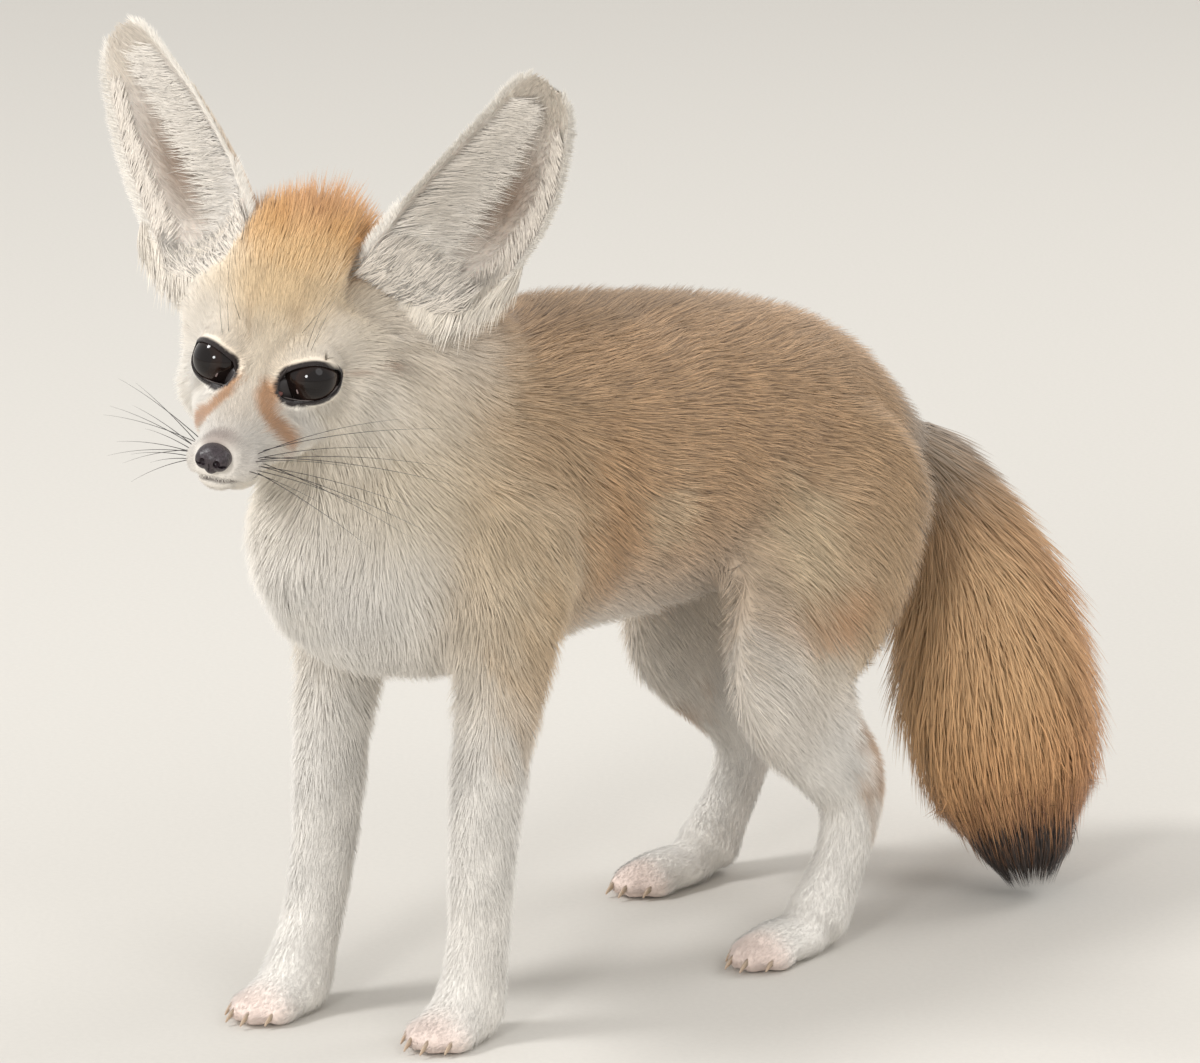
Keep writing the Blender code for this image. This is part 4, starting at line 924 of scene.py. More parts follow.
# Ears. Each is a thin sheet of gristle rolled into a deep cup and covered with skin, furred behind
# and nearly bare in the hollow. It is a curved sheet with a rounded rim and ridges, its root sunk in
# the crown, and a pocket of loose skin at the foot of its outer edge.
EAR_THICK = 1.7
EAR_EDGE = 0.5
EAR_ROWS = 72
EAR_COLUMNS = 44
EAR_RIM = 0.8
RIDGE_HIGH = 0.7
RIDGES = 5
POCKET_AT = (0.2, 0.72)
POCKET_REACH = (0.09, 0.2)
POCKET_HIGH = 3.2
EDGE_SQUARE = 8


def on_ear(name, across, t, inside):
    """Points of the ear: across is -1 at the inner edge and 1 at the outer, t runs to the tip."""
    length, width, opening = ear_axes(name)
    table = np.array(EAR_SHAPE)
    half, cup, fill, lean = (np.interp(t, table[:, 0], column) for column in table.T[1:])
    half_angle = 2 * np.arctan(cup / half)
    radius = half / np.sin(half_angle)
    angle = half_angle * across
    sideways, deep = radius * np.sin(angle), radius * (np.cos(angle) - np.cos(half_angle))
    thick = EAR_EDGE + (EAR_THICK - EAR_EDGE) * (1 - across**EDGE_SQUARE)
    if inside:
        sideways = sideways * (1 - EAR_RIM * (1 - across**2) / half)
        ridges = RIDGE_HIGH * np.sin(across * RIDGES * math.pi) ** 2 * np.clip(1 - t, 0, 0.5)
        pocket = np.exp(-(((t - POCKET_AT[0]) / POCKET_REACH[0]) ** 2)
                        - (((across - POCKET_AT[1]) / POCKET_REACH[1]) ** 2)) * POCKET_HIGH
        deep = np.maximum(deep - fill, 0) - thick / 2 - (ridges + pocket) * (1 - across**EDGE_SQUARE)
    else:
        deep = deep + thick / 2
    root = on_head(np.array(EAR_BASE) * (1, EARS[name]["side"], 1))
    along = (EAR_LENGTH * t)[..., None] * length
    aside = sideways + lean * EARS[name]["sway"]
    return root + along + aside[..., None] * width - (cup * 0.5 + deep)[..., None] * opening


EAR_LINING = "#ebe1d5"
EAR_HOLLOW_SHADE = "#9c8877"
EAR_NOTCH = "#6b5249"
EAR_EDGE_TONE = "#f3eadd"
EAR_TIP_TONE = "#e2d6c6"
EAR_EDGE_SHARES = (0.7, 0.9)
EAR_TIP_FROM = 0.78
EAR_TIP_FADE = 0.1
EAR_BACK = ("#c48d5f", "#d3b48e", "#e2cfb2")
EAR_BACK_AT = (0, 0.35, 1)
HOLLOW_AT = (0.3, 0.52)
HOLLOW_REACH = (0.34, 0.26)
GROOVE_ACROSS = -0.8
GROOVE_REACH = 0.06
GROOVE_SHARE = 0.3
NOTCH_AT = 0.05
NOTCH_REACH = 0.09


def ear_colours(across, t, inside):
    """Painted brown shade in the hollow and the groove by the inner edge, grey cream round it, cream
    at the rim, and orange to cream behind.
    """
    rim = np.abs(across)[:, None] ** EDGE_SQUARE
    if inside:
        # The hollow and the groove by the inner edge get painted shade.
        hollow = np.exp(-(((across - HOLLOW_AT[0]) / HOLLOW_REACH[0]) ** 2)
                        - ((t - HOLLOW_AT[1]) / HOLLOW_REACH[1]) ** 2)
        groove = np.exp(-(((across - GROOVE_ACROSS) / GROOVE_REACH) ** 2))
        groove *= np.clip(3 - 4 * t, 0, GROOVE_SHARE)
        notch = np.exp(-(((t - NOTCH_AT) / NOTCH_REACH) ** 2)) * (1 - across**2)
        tip = np.clip((t - EAR_TIP_FROM) / EAR_TIP_FADE, 0, 1)
        colour = np.tile(linear(EAR_LINING), (len(t), 1))
        washes = ((EAR_TIP_TONE, tip), (EAR_HOLLOW_SHADE, np.maximum(hollow, groove)), (EAR_NOTCH, notch))
        for tone, share in washes:
            colour += (linear(tone) - colour) * share[:, None]
    else:
        tones = np.array([linear(tone) for tone in EAR_BACK])
        colour = np.stack([np.interp(t, EAR_BACK_AT, channel) for channel in tones.T], axis=-1)
    return colour + (linear(EAR_EDGE_TONE) - colour) * rim * EAR_EDGE_SHARES[inside]


VEIN_APART = 6
EAR_GRAIN = 0.6
EAR_GRAIN_HIGH = 0.2
# Ear skin is thin enough for light to pass, so it is soft-edged in shade and has a faint grain.
ear_skin, shader = new_material(
    "thin ear skin", Roughness=0.6, Subsurface_Weight=0.15, Sheen_Weight=0.3,
    Subsurface_Radius=(0.003, 0.0012, 0.0008), Subsurface_Scale=1.0)
tint = node(ear_skin, "ShaderNodeAttribute", attribute_name="tint")
place = node(ear_skin, "ShaderNodeTexCoord")
veins = node(ear_skin, "ShaderNodeTexNoise", {
    "Vector": place.outputs["Object"], "Scale": 1 / (VEIN_APART * MM), "Detail": 3.0})
grain = node(ear_skin, "ShaderNodeTexNoise", {
    "Vector": place.outputs["Object"], "Scale": 1 / (EAR_GRAIN * MM)})
shade = node(ear_skin, "ShaderNodeMapRange", {
    "Value": veins.outputs["Fac"], "To Min": 0.75, "To Max": 1.15})
mottled = node(ear_skin, "ShaderNodeVectorMath", {
    0: tint.outputs["Color"], 1: shade.outputs["Result"]}, operation="MULTIPLY")
bump = node(ear_skin, "ShaderNodeBump", {
    "Height": grain.outputs["Fac"], "Strength": 0.3, "Distance": EAR_GRAIN_HIGH * MM})
ear_skin.node_tree.links.new(mottled.outputs["Vector"], shader.inputs["Base Color"])
ear_skin.node_tree.links.new(bump.outputs["Normal"], shader.inputs["Normal"])
for name in EARS:
    across, t = np.meshgrid(np.linspace(-1, 1, EAR_COLUMNS + 1), np.linspace(0, 1, EAR_ROWS + 1))
    across, t = across.ravel(), t.ravel()
    sheets = [on_ear(name, across, t, inside) for inside in (False, True)]
    columns, count = EAR_COLUMNS + 1, len(t)
    faces = []
    for row in range(EAR_ROWS):
        for column in range(EAR_COLUMNS):
            a = row * columns + column
            faces.append((a, a + 1, a + columns + 1, a + columns))
            faces.append((count + a, count + a + columns, count + a + columns + 1, count + a + 1))
        a = row * columns
        faces.append((a, a + columns, count + a + columns, count + a))
        a += EAR_COLUMNS
        faces.append((a, count + a, count + a + columns, a + columns))
    for a in range(EAR_COLUMNS):
        faces.append((a, count + a, count + a + 1, a + 1))
        a += EAR_ROWS * columns
        faces.append((a, a + 1, count + a + 1, count + a))
    if EARS[name]["side"] < 0:
        faces = [f[::-1] for f in faces]
    ear = new_object(name.replace("ear", "ear_skin"), np.vstack(sheets), faces)
    store(ear.data, "tint", "FLOAT_COLOR",
          np.vstack([ear_colours(across, t, inside) for inside in (False, True)]))
    ear.data.materials.append(ear_skin)
    ear.data.shade_smooth()
    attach(ear, "root")
    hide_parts(name)

# Eyeballs. Large, wet and nearly black brown, with a clear cornea that bulges over the iris. Each
# is one ball with a slight bulge, and the glassy look comes from its clear coat.
CORNEA_BULGE = 0.7
CORNEA_ANGLE = 48
LIMBUS_ANGLE = 42
PUPIL_ANGLE = 24
PUPIL_EDGE_ANGLE = 27
IRIS_FIBRES = 2
EYE_RINGS = 40
EYE_SIDES = 72
PUPIL = "#15100f"
IRIS_INNER = "#1d1512"
IRIS_OUTER = "#281b16"
LIMBUS = "#1a1311"
# An eye is smooth and wet, so it mirrors the lights sharply over a dark brown depth.
eyeball, shader = new_material(
    "wet eyeball", Roughness=0.4, Specular_IOR_Level=0.0, Coat_Weight=1.0,
    Coat_Roughness=0.02, Coat_IOR=1.38)
angle = node(eyeball, "ShaderNodeAttribute", attribute_name="off_axis")
fibre = node(eyeball, "ShaderNodeAttribute", attribute_name="fibre")
streak = node(eyeball, "ShaderNodeTexNoise", {
    "Vector": fibre.outputs["Vector"], "Scale": 9.0, "Detail": 3.0})
shade = node(eyeball, "ShaderNodeMapRange", {
    "Value": streak.outputs["Fac"], "To Min": 0.7, "To Max": 1.3})
iris = node(eyeball, "ShaderNodeValToRGB", {"Fac": angle.outputs["Fac"]}, stops=(
    (0, linear(PUPIL)),
    (PUPIL_ANGLE / 90, linear(PUPIL)),
    (PUPIL_EDGE_ANGLE / 90, linear(IRIS_INNER)),
    (LIMBUS_ANGLE / 90, linear(IRIS_OUTER)),
    (CORNEA_ANGLE / 90, linear(LIMBUS)),
    (1, linear(LIMBUS)),
))
colour = node(eyeball, "ShaderNodeVectorMath", {
    0: iris.outputs["Color"], 1: shade.outputs["Result"]}, operation="MULTIPLY")
eyeball.node_tree.links.new(colour.outputs["Vector"], shader.inputs["Base Color"])
for word, side in SIDES.items():
    gaze, along, across = eye_axes(side)
    slope = math.pi * (np.arange(EYE_RINGS) + 0.5) / EYE_RINGS
    turn = 2 * math.pi * np.arange(EYE_SIDES) / EYE_SIDES
    slope, turn = (grid.ravel() for grid in np.meshgrid(slope, turn, indexing="ij"))
    share = np.clip(1 - np.degrees(slope) / CORNEA_ANGLE, 0, 1)
    radius = EYE_RADIUS + CORNEA_BULGE * share * (2 - share)
    ways = (np.cos(slope)[:, None] * gaze + (np.sin(slope) * np.cos(turn))[:, None] * along
            + (np.sin(slope) * np.sin(turn))[:, None] * across * side)
    faces = [f[::-1] for f in tube_faces(EYE_RINGS, EYE_SIDES)]
    eye = new_object(f"eyeball_{word}", eye_centre(side) + ways * radius[:, None], faces)
    store(eye.data, "off_axis", "FLOAT", np.degrees(slope) / 90)
    fibres = np.column_stack([np.cos(turn) * IRIS_FIBRES, np.sin(turn) * IRIS_FIBRES, slope * 0.3])
    store(eye.data, "fibre", "FLOAT_VECTOR", fibres)
    eye.data.materials.append(eyeball)
    eye.data.shade_smooth()
    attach(eye, "root")
    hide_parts(f"eye_{word}")

# Lid rims. The bare edges of both lids are black, moist and rounded, and lie on the eyeball, as
# tubes along the slit. A fold of skin, its pale edge with a painted wet highlight, and the pink tear
# duct fill the inner corner.
RIM_RADIUS = 0.42
RIM_SIDES = 10
RIM_LIFT = 0.4
INNER_CORNER = (
    ("haw", (-9.4, -0.5), (4.4, 4.0, 1.7), -1.2),
    ("haw_edge_glint", (-6.3, -1.2), (0.3, 0.8, 0.3), 0.1),
    ("tear_duct", (-11.4, -0.9), (1.2, 0.8, 0.9), 0.3),
)
TEAR_SPAN = (0.53, 0.93)
TEAR_INSET = 0.75
TEAR_LIFT = 0.1
TEAR_RADIUS = 0.2
WET_COLOURS = {
    "haw": "#1f1717",
    # Pale edge of the fold: partly its own colour, partly a painted wet highlight.
    "haw_edge_glint": "#857370",
    "tear_duct": "#80514a",
    # Grey of the tear film along the lower lid: a painted reflection.
    "tear_line_glint": "#6d6562",
}


def closed_tube(spine, centre, radius, sides):
    """A tube round a closed line, seen from a centre behind it: points and faces."""
    tangents = unit(np.roll(spine, -1, axis=0) - np.roll(spine, 1, axis=0))
    outward = unit(spine - centre)
    wide = unit(np.cross(tangents, outward))
    outward = np.cross(wide, tangents)
    turn = 2 * math.pi * np.arange(sides) / sides
    ring = wide[:, None] * np.cos(turn)[:, None] + outward[:, None] * np.sin(turn)[:, None]
    points = spine[:, None] + ring * radius
    count, faces = len(spine), []
    for r in range(count):
        for k in range(sides):
            n, m = (r + 1) % count, (k + 1) % sides
            faces.append((r * sides + k, r * sides + m, n * sides + m, n * sides + k))
    return points.reshape(-1, 3), faces


# Lid skin is hairless and black, with a tear film that gives it a soft gloss.
lid_skin, shader = new_material("moist lid skin", Roughness=0.5, Specular_IOR_Level=0.25)
shader.inputs["Base Color"].default_value = (*linear(LID_DARK), 1)
# The fold, its edge and the duct are wet skin, and the line is tears: all a little glossier. The
# edge's pale colour is partly a painted wet highlight, and the line's grey is a painted reflection.
wet_skin = {}
for kind, colour in WET_COLOURS.items():
    wet_skin[kind], shader = new_material(
        f"wet {kind.replace('_', ' ')}", Roughness=0.5, Coat_Weight=0.1, Coat_Roughness=0.1)
    shader.inputs["Base Color"].default_value = (*linear(colour), 1)
for word, side in SIDES.items():
    gaze, along, across = eye_axes(side)
    spine = on_eye(side, slit_outline(), RIM_RADIUS * RIM_LIFT)
    pieces = {"lid_rim": closed_tube(spine, eye_centre(side), RIM_RADIUS, RIM_SIDES)}
    for kind, at, size, lift in INNER_CORNER:
        centre = on_eye(side, np.array([at]), lift)[0]
        pieces[kind] = ball(centre, size, (along, across, gaze), sides=16)
    # Tear film along the lower lid, its grey a painted reflection.
    spine = on_eye(side, slit_outline(TEAR_INSET, *TEAR_SPAN, count=24), TEAR_LIFT)
    rows = np.column_stack([spine, np.full((len(spine), 2), TEAR_RADIUS)])
    pieces["tear_line_glint"] = loft(rows, 8, gaze, steps=2)
    for kind, (points, faces) in pieces.items():
        piece = new_object(f"{kind}_{word}", points, faces)
        piece.data.materials.append(wet_skin.get(kind, lid_skin))
        piece.data.shade_smooth()
        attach(piece, "root")

# Nose pad. Bare, moist, brown-black skin with a pebbled grain, comma-shaped nostrils and a groove
# down the middle. It is fused from rounded pieces on a fine grid, and the openings are cut.
NOSE_GRID = 0.22
NOSE_PIECES = (
    ((39.6, 0, -16.2), (5.0, 5.4, 4.3)),
    ((41.2, 2.3, -16.6), (3.2, 3.0, 3.2)),
    ((40.8, 0, -18.6), (3.0, 2.2, 2.4)),
)
NOSTRILS = (
    ((44.6, 2.5, -16.9), (2.2, 1.0, 1.25), (0.8, 0.6)),
    ((43.6, 4.4, -17.6), (2.0, 1.5, 0.5), (0.45, 0.9)),
)
GROOVE_AT = (45.4, 0, -19.6)
GROOVE_SIZE = (2.0, 0.3, 3.2)
PEBBLE = 0.55
PEBBLE_HIGH = 0.15
NOSE_DARK = "#20171a"
NOSE_PALE = "#40343a"
nose_pieces, nose_cuts = [], []
for side in SIDES.values():
    mirror = np.array([1, side, 1])
    nose_pieces += [ball(on_head(at * mirror), radii, HEAD) for at, radii in NOSE_PIECES]
    for at, radii, (ahead, aside) in NOSTRILS:
        aim = unit(FORWARD * ahead + LEFT * side * aside)
        flat = np.cross(UP, aim)
        nose_cuts.append(new_object("nostril", *ball(on_head(at * mirror), radii, (aim, flat, UP))))
nose = fused("nose_pad", nose_pieces, NOSE_GRID, smoothing=6)
nose_cuts.append(new_object("groove", *ball(on_head(GROOVE_AT), GROOVE_SIZE, HEAD)))
combined(nose, nose_cuts, "DIFFERENCE")
# Nose leather is pebbled and damp, so it shows many small soft highlights.
nose_leather, shader = new_material(
    "moist nose leather", Roughness=0.42, Coat_Weight=0.15, Coat_Roughness=0.25)
place = node(nose_leather, "ShaderNodeTexCoord")
pebbles = node(nose_leather, "ShaderNodeTexVoronoi", {
    "Vector": place.outputs["Object"], "Scale": 1 / (PEBBLE * MM)})
tone = node(nose_leather, "ShaderNodeValToRGB", {"Fac": pebbles.outputs["Distance"]},
            stops=((0, linear(NOSE_PALE)), (0.8, linear(NOSE_DARK))))
bump = node(nose_leather, "ShaderNodeBump", {
    "Height": pebbles.outputs["Distance"], "Strength": 0.5, "Distance": PEBBLE_HIGH * MM},
    invert=True)
nose_leather.node_tree.links.new(tone.outputs["Color"], shader.inputs["Base Color"])
nose_leather.node_tree.links.new(bump.outputs["Normal"], shader.inputs["Normal"])
nose.data.materials.append(nose_leather)
nose.data.shade_smooth()
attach(nose, "root")
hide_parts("nose")

# Claws. Short curved horn, four to a paw, grey-brown at the root and paler to the tip. Each one is
# a tapered hook of its own, seated in its toe.
CLAW_ROWS = ((0, 3.4, 1.5), (0.3, 3.3, 1.4), (0.6, 2.6, 1.15), (0.85, 1.3, 0.75), (1.0, 0.1, 0.3))
CLAW_LENGTH = 8.5
CLAW_AHEAD = 8.8
CLAW_TIP_UP = 1.4
CLAW_FLAT = 0.62
CLAW_CLEAR = 0.15
CLAW_LINE_HIGH = 0.1
CLAW_ROOT = "#6b5a4e"
CLAW_TIP = "#bfa78f"
# Horn is dense and a little see-through, worn to a dull gloss by sand, with fine growth lines.
horn, shader = new_material("claw horn", Roughness=0.38, IOR=1.55, Subsurface_Weight=0.05)
along = node(horn, "ShaderNodeAttribute", attribute_name="along")
lines = node(horn, "ShaderNodeTexWave", {
    "Vector": along.outputs["Vector"], "Scale": 3.0, "Distortion": 2.0})
tone = node(horn, "ShaderNodeValToRGB", {"Fac": along.outputs["Fac"]},
            stops=((0.3, linear(CLAW_ROOT)), (1, linear(CLAW_TIP))))
bump = node(horn, "ShaderNodeBump", {
    "Height": lines.outputs["Fac"], "Strength": 0.2, "Distance": CLAW_LINE_HIGH * MM})
horn.node_tree.links.new(tone.outputs["Color"], shader.inputs["Base Color"])
horn.node_tree.links.new(bump.outputs["Normal"], shader.inputs["Normal"])
for leg, ((x, y), _, length, width) in PAWS.items():
    ahead, aside = paw_axes(leg)
    for number, (place, out) in enumerate(TOES, start=1):
        tip = np.array([x, y, CLAW_TIP_UP]) + ahead * (length * out + CLAW_AHEAD)
        tip = tip + aside * width * place
        rows = [(*(tip + ahead * CLAW_LENGTH * (share - 1) + Z * drop), radius * CLAW_FLAT, radius)
                for share, drop, radius in CLAW_ROWS]
        points, faces = loft(rows, 12, aside, steps=3)
        points[:, 2] = np.maximum(points[:, 2], CLAW_CLEAR)
        claw = new_object(f"{leg.replace('leg', 'claw')}_horn_{number}", points, faces)
        share = np.clip(1 + (points - tip) @ ahead / CLAW_LENGTH, 0, 1)
        store(claw.data, "along", "FLOAT_VECTOR", np.column_stack([share] * 3))
        claw.data.materials.append(horn)
        claw.data.shade_smooth()
        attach(claw, "root")
        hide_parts(f"{leg.replace('leg', 'claw')}_{number}")

# Coat of the face, crown, neck, flanks and legs. Real fur is far finer than a mesh can be, so each
# hair here stands for a small tuft: a thin closed spike, rooted in the hide, which lies along the
# groom with its tip at the coat's depth over the hide.
PATCH = 0.003
UNWRAP_HIGH = 120
NECK_LINE = ((0, -200, 160), (0, -90, 200))
FLANK_MIDDLE = 160
FLANK_FRONT = -130
FLANK_LONG = 250
HEAD_MIDDLE = (-30, 0, -2)
WIDTH_LEAST = 0.26
WIDTH_SHARE = 0.019
WIDTHS = (0.8, 1.2)
LENGTHS = (0.75, 1.2)
HEIGHTS = (0.6, 1.2)
SINK = 0.5
OFF_SKIN = 0.05
OFF_FLOOR = 0.25
CLUMP_OF = 12
ROUNDNESS = 0.5
TUFT_FLAT = 0.6
RINGS_SHORT = ((0.0, 1.0),)
RINGS_LONG = ((0.0, 0.0), (0.3, 1.0), (0.66, 0.75))
SWIRL_SIZE = 16
WAVE_SIZE = 11
WAVE_HIGH = 0.15
NEAR_EYE = 7.0
AWAY_FROM_EYE = 1.2
SHORTER_BY_EYE = 0.55
FLATTER_BY_EYE = 0.5
NEAR_LIPS = 6.0
SHORTER_BY_LIPS = 0.5
FLATTER_BY_LIPS = 0.6
CREST_AT = (-46, 0, 44)
CREST_SIZE = (16, 24, 20)
# A sloping seam is two coordinates of a place on it, and the way across it.
NECK_SEAM = (-125, 190, -0.8, 0.6)
HEAD_SEAM = (-31, -40, -0.47, 0.88)
HEAD_BACK = -64
FACE_BACK = -12
FORELEG_TOP = 106
FORELEG_BACK = -76
HINDLEG_TOP = 108
HINDLEG_TOP_SLOPE = 0.12
HINDLEG_MIDDLE = 20
HINDLEG_FRONT = -56
NOSE_MIDDLE = (40, 0, -16.4)
NOSE_SHAPE = (1, 1.1, 0.95)
NOSE_BARE = 5.0
EYE_BARE = 0.35
LID_BARE = 1.0
LIP_BARE = 0.7
SOLE_BARE = 1.2
skin_points, skin_normals = points_of(skin.data), normals_of(skin.data)
skin_corners = triangles_of(skin.data)
skin_tree = tree_of(skin.data)
corner_points = skin_points[skin_corners]
skin_middles = corner_points.mean(1)
skin_areas = np.linalg.norm(np.cross(corner_points[:, 1] - corner_points[:, 0],
                                     corner_points[:, 2] - corner_points[:, 0]), axis=1) / 2
middle_coat = coat_at(skin_middles)


def nearest(points):
    """The nearest place on the skin to each point, and the normal there."""
    found = [skin_tree.find_nearest(Vector(p))[:2] for p in points]
    return np.array([f[0] for f in found]), np.array([f[1] for f in found])


def past_seam(a, b, seam):
    """Whether points lie past a sloping seam."""
    at_a, at_b, way_a, way_b = seam
    return (a - at_a) * way_a + (b - at_b) * way_b > 0


def part_names(points):
    """The piece of coat that each point of the skin belongs to."""
    forward, _, up = in_head(points).T
    x, y, z = points.T
    on_neck = past_seam(y, z, NECK_SEAM)
    headed = past_seam(forward, up, HEAD_SEAM) & (forward > HEAD_BACK) & on_neck
    names = np.where(x > 0, "flank_left", "flank_right")
    names[on_neck] = "neck"
    names[(z < FORELEG_TOP) & (y < FORELEG_BACK)] = "forelegs"
    hindleg_top = HINDLEG_TOP + HINDLEG_TOP_SLOPE * (y - HINDLEG_MIDDLE)
    names[(z < hindleg_top) & (y > HINDLEG_FRONT)] = "hindlegs"
    names[headed] = "crown"
    names[headed & (forward > FACE_BACK)] = "face"
    along, off = tail_share(points)
    names[(along > BRUSH_FROM) & (off < BRUSH_WITHIN) & (y > BEHIND_RUMP)] = "tail"
    bare = np.linalg.norm((in_head(points) - NOSE_MIDDLE) / NOSE_SHAPE, axis=1) < NOSE_BARE
    for side in SIDES.values():
        bare |= np.linalg.norm(points - eye_centre(side), axis=1) < EYE_RADIUS + EYE_BARE
        bare |= from_slit(points, side) < LID_BARE
    bare |= from_line(points, mouth) < LIP_BARE
    bare |= z < SOLE_BARE
    names[bare] = "bare"
    return names


skin_parts = part_names(skin_middles)


def roots_on(part, count, evenness):
    """Roots spread over a part of the skin, and the normals there."""
    chosen = np.flatnonzero(skin_parts == part)
    weight = skin_areas[chosen] / middle_coat[chosen, LENGTH] ** evenness
    total = np.cumsum(weight)
    picks = np.searchsorted(total, (np.arange(count) + rand.random(count)) * total[-1] / count)
    tri = skin_corners[chosen[np.minimum(picks, len(chosen) - 1)]]
    a, b = np.sqrt(rand.random(count)), rand.random(count)
    share = np.stack([1 - a, a * (1 - b), a * b], axis=1)[..., None]
    return (skin_points[tri] * share).sum(1), unit((skin_normals[tri] * share).sum(1))


def coat_mesh(name, spines, normals, side, widths, tints, bands, unwrap, rings, roundness=ROUNDNESS):
    """Closed three-sided tufts along spines. A ring of no width is one point."""
    count, rings = len(spines), (*rings, (1.0, 0.0))
    along = unit(np.diff(spines, axis=1))
    verts, outs, first, levels = [], [], [], []
    for r, (share, wide) in enumerate(rings):
        first.append(len(verts))
        if wide == 0:
            verts.append(spines[:, r])
            outs.append(normals)
        else:
            across = unit(side - along[:, r] * (side * along[:, r]).sum(1, keepdims=True))
            out = np.cross(along[:, r], across)
            for turn in 2 * math.pi * (np.arange(3) / 3 + 0.25):
                way = across * math.cos(turn) + out * math.sin(turn) * TUFT_FLAT
                verts.append(spines[:, r] + way * (widths * wide)[:, None] * 0.5)
                outs.append(unit(normals + way * roundness))
        levels += [share] * (len(verts) - len(levels))
    points = np.stack(verts, axis=1)
    outs = np.stack(outs, axis=1)
    size = points.shape[1]
    loops, patch = [], []

    def corner(r, k, v=None):
        share, wide = rings[r]
        loops.append(first[r] + (k % 3 if wide else 0))
        patch.append(((k + (0 if wide else 0.5)) / 3, 0.2 + 0.8 * share if v is None else v))

    for r in range(len(rings) - 1):
        for k in range(3):
            if rings[r][1]:
                corner(r, k)
                corner(r, k + 1)
                corner(r + 1, k + (rings[r + 1][1] > 0))
            if rings[r + 1][1]:
                corner(r, k)
                corner(r + 1, k + 1)
                corner(r + 1, k)
    if rings[0][1]:
        for k, v in ((2, 0.1), (1, 0.0), (0, 0.1)):
            corner(0, k, v)
    loops, patch = np.array(loops, np.int32), np.array(patch)
    mesh = bpy.data.meshes.new(name)
    mesh.vertices.add(count * size)
    mesh.vertices.foreach_set("co", ((points + SHIFT) * MM).ravel())
    indices = (np.arange(count, dtype=np.int32)[:, None] * size + loops).ravel()
    mesh.loops.add(len(indices))
    mesh.loops.foreach_set("vertex_index", indices)
    mesh.polygons.add(len(indices) // 3)
    mesh.polygons.foreach_set("loop_start", np.arange(0, len(indices), 3, dtype=np.int32))
    mesh.update(calc_edges=True)
    mesh.shade_smooth()
    mesh.normals_split_custom_set_from_vertices(outs.reshape(-1, 3))
    uv = mesh.uv_layers.new(name="OFBake")
    places = unwrap[:, None] * (1 - PATCH) + patch * PATCH
    uv.data.foreach_set("uv", places.astype(np.float32).ravel())
    store(mesh, "tint", "FLOAT_COLOR", np.repeat(tints, size, axis=0))
    strand = np.stack([np.tile(levels, (count, 1)), np.repeat(rand.random(count)[:, None], size, 1),
                       np.repeat(bands[:, None], size, 1)], axis=-1)
    store(mesh, "strand", "FLOAT_VECTOR", strand.reshape(-1, 3))
    obj = bpy.data.objects.new(name, mesh)
    bpy.context.scene.collection.objects.link(obj)
    mesh.materials.append(guard_hair)
    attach(obj, "root")


def neck_unwrap(points):
    """Place of each point on an unwrap round the neck's middle line."""
    start, end = np.array(NECK_LINE, float)
    axis = unit(end - start)
    wide = unit(np.cross(axis, Z))
    high = np.cross(axis, wide)
    away = points - start
    angle = np.arctan2(away @ high, away @ wide) / (2 * math.pi) + 0.5
    v = np.clip(away @ axis / np.linalg.norm(end - start), 0, 1)
    return np.column_stack([np.clip(angle, 0, 1), v])


def flank_unwrap(points):
    """Place of each point on an unwrap of one side of the trunk, from the belly to the back."""
    x, y, z = points.T
    turn = np.arctan2(np.abs(x), FLANK_MIDDLE - z) / math.pi
    return np.clip(np.column_stack([turn, (y - FLANK_FRONT) / FLANK_LONG]), 0, 1)


def leg_unwrap(points, pair):
    """Place of each point on an unwrap of two legs side by side, each opened at the back."""
    place = np.zeros((len(points), 2))
    for half, word in enumerate(SIDES):
        own = (points[:, 0] > 0) == (word == "left")
        x, y, z = points[own].T
        stations = np.array(LEGS[f"{pair}_{word}"])[::-1]
        x -= np.interp(z, stations[:, 2], stations[:, 0])
        y -= np.interp(z, stations[:, 2], stations[:, 1])
        turn = np.arctan2(x, -y) / (2 * math.pi)
        place[own] = np.column_stack([(half + 0.5 + turn) / 2, z / UNWRAP_HIGH])
    return np.clip(place, 0, 1)


def dome_unwrap(points):
    """Place of each point on an unwrap of the head, spread out round the muzzle."""
    forward, left, up = unit(in_head(points) - HEAD_MIDDLE).T
    far = np.arccos(np.clip(forward, -1, 1)) / math.pi
    around = np.arctan2(up, left)
    return np.column_stack([0.5 + 0.5 * far * np.cos(around), 0.5 + 0.5 * far * np.sin(around)])


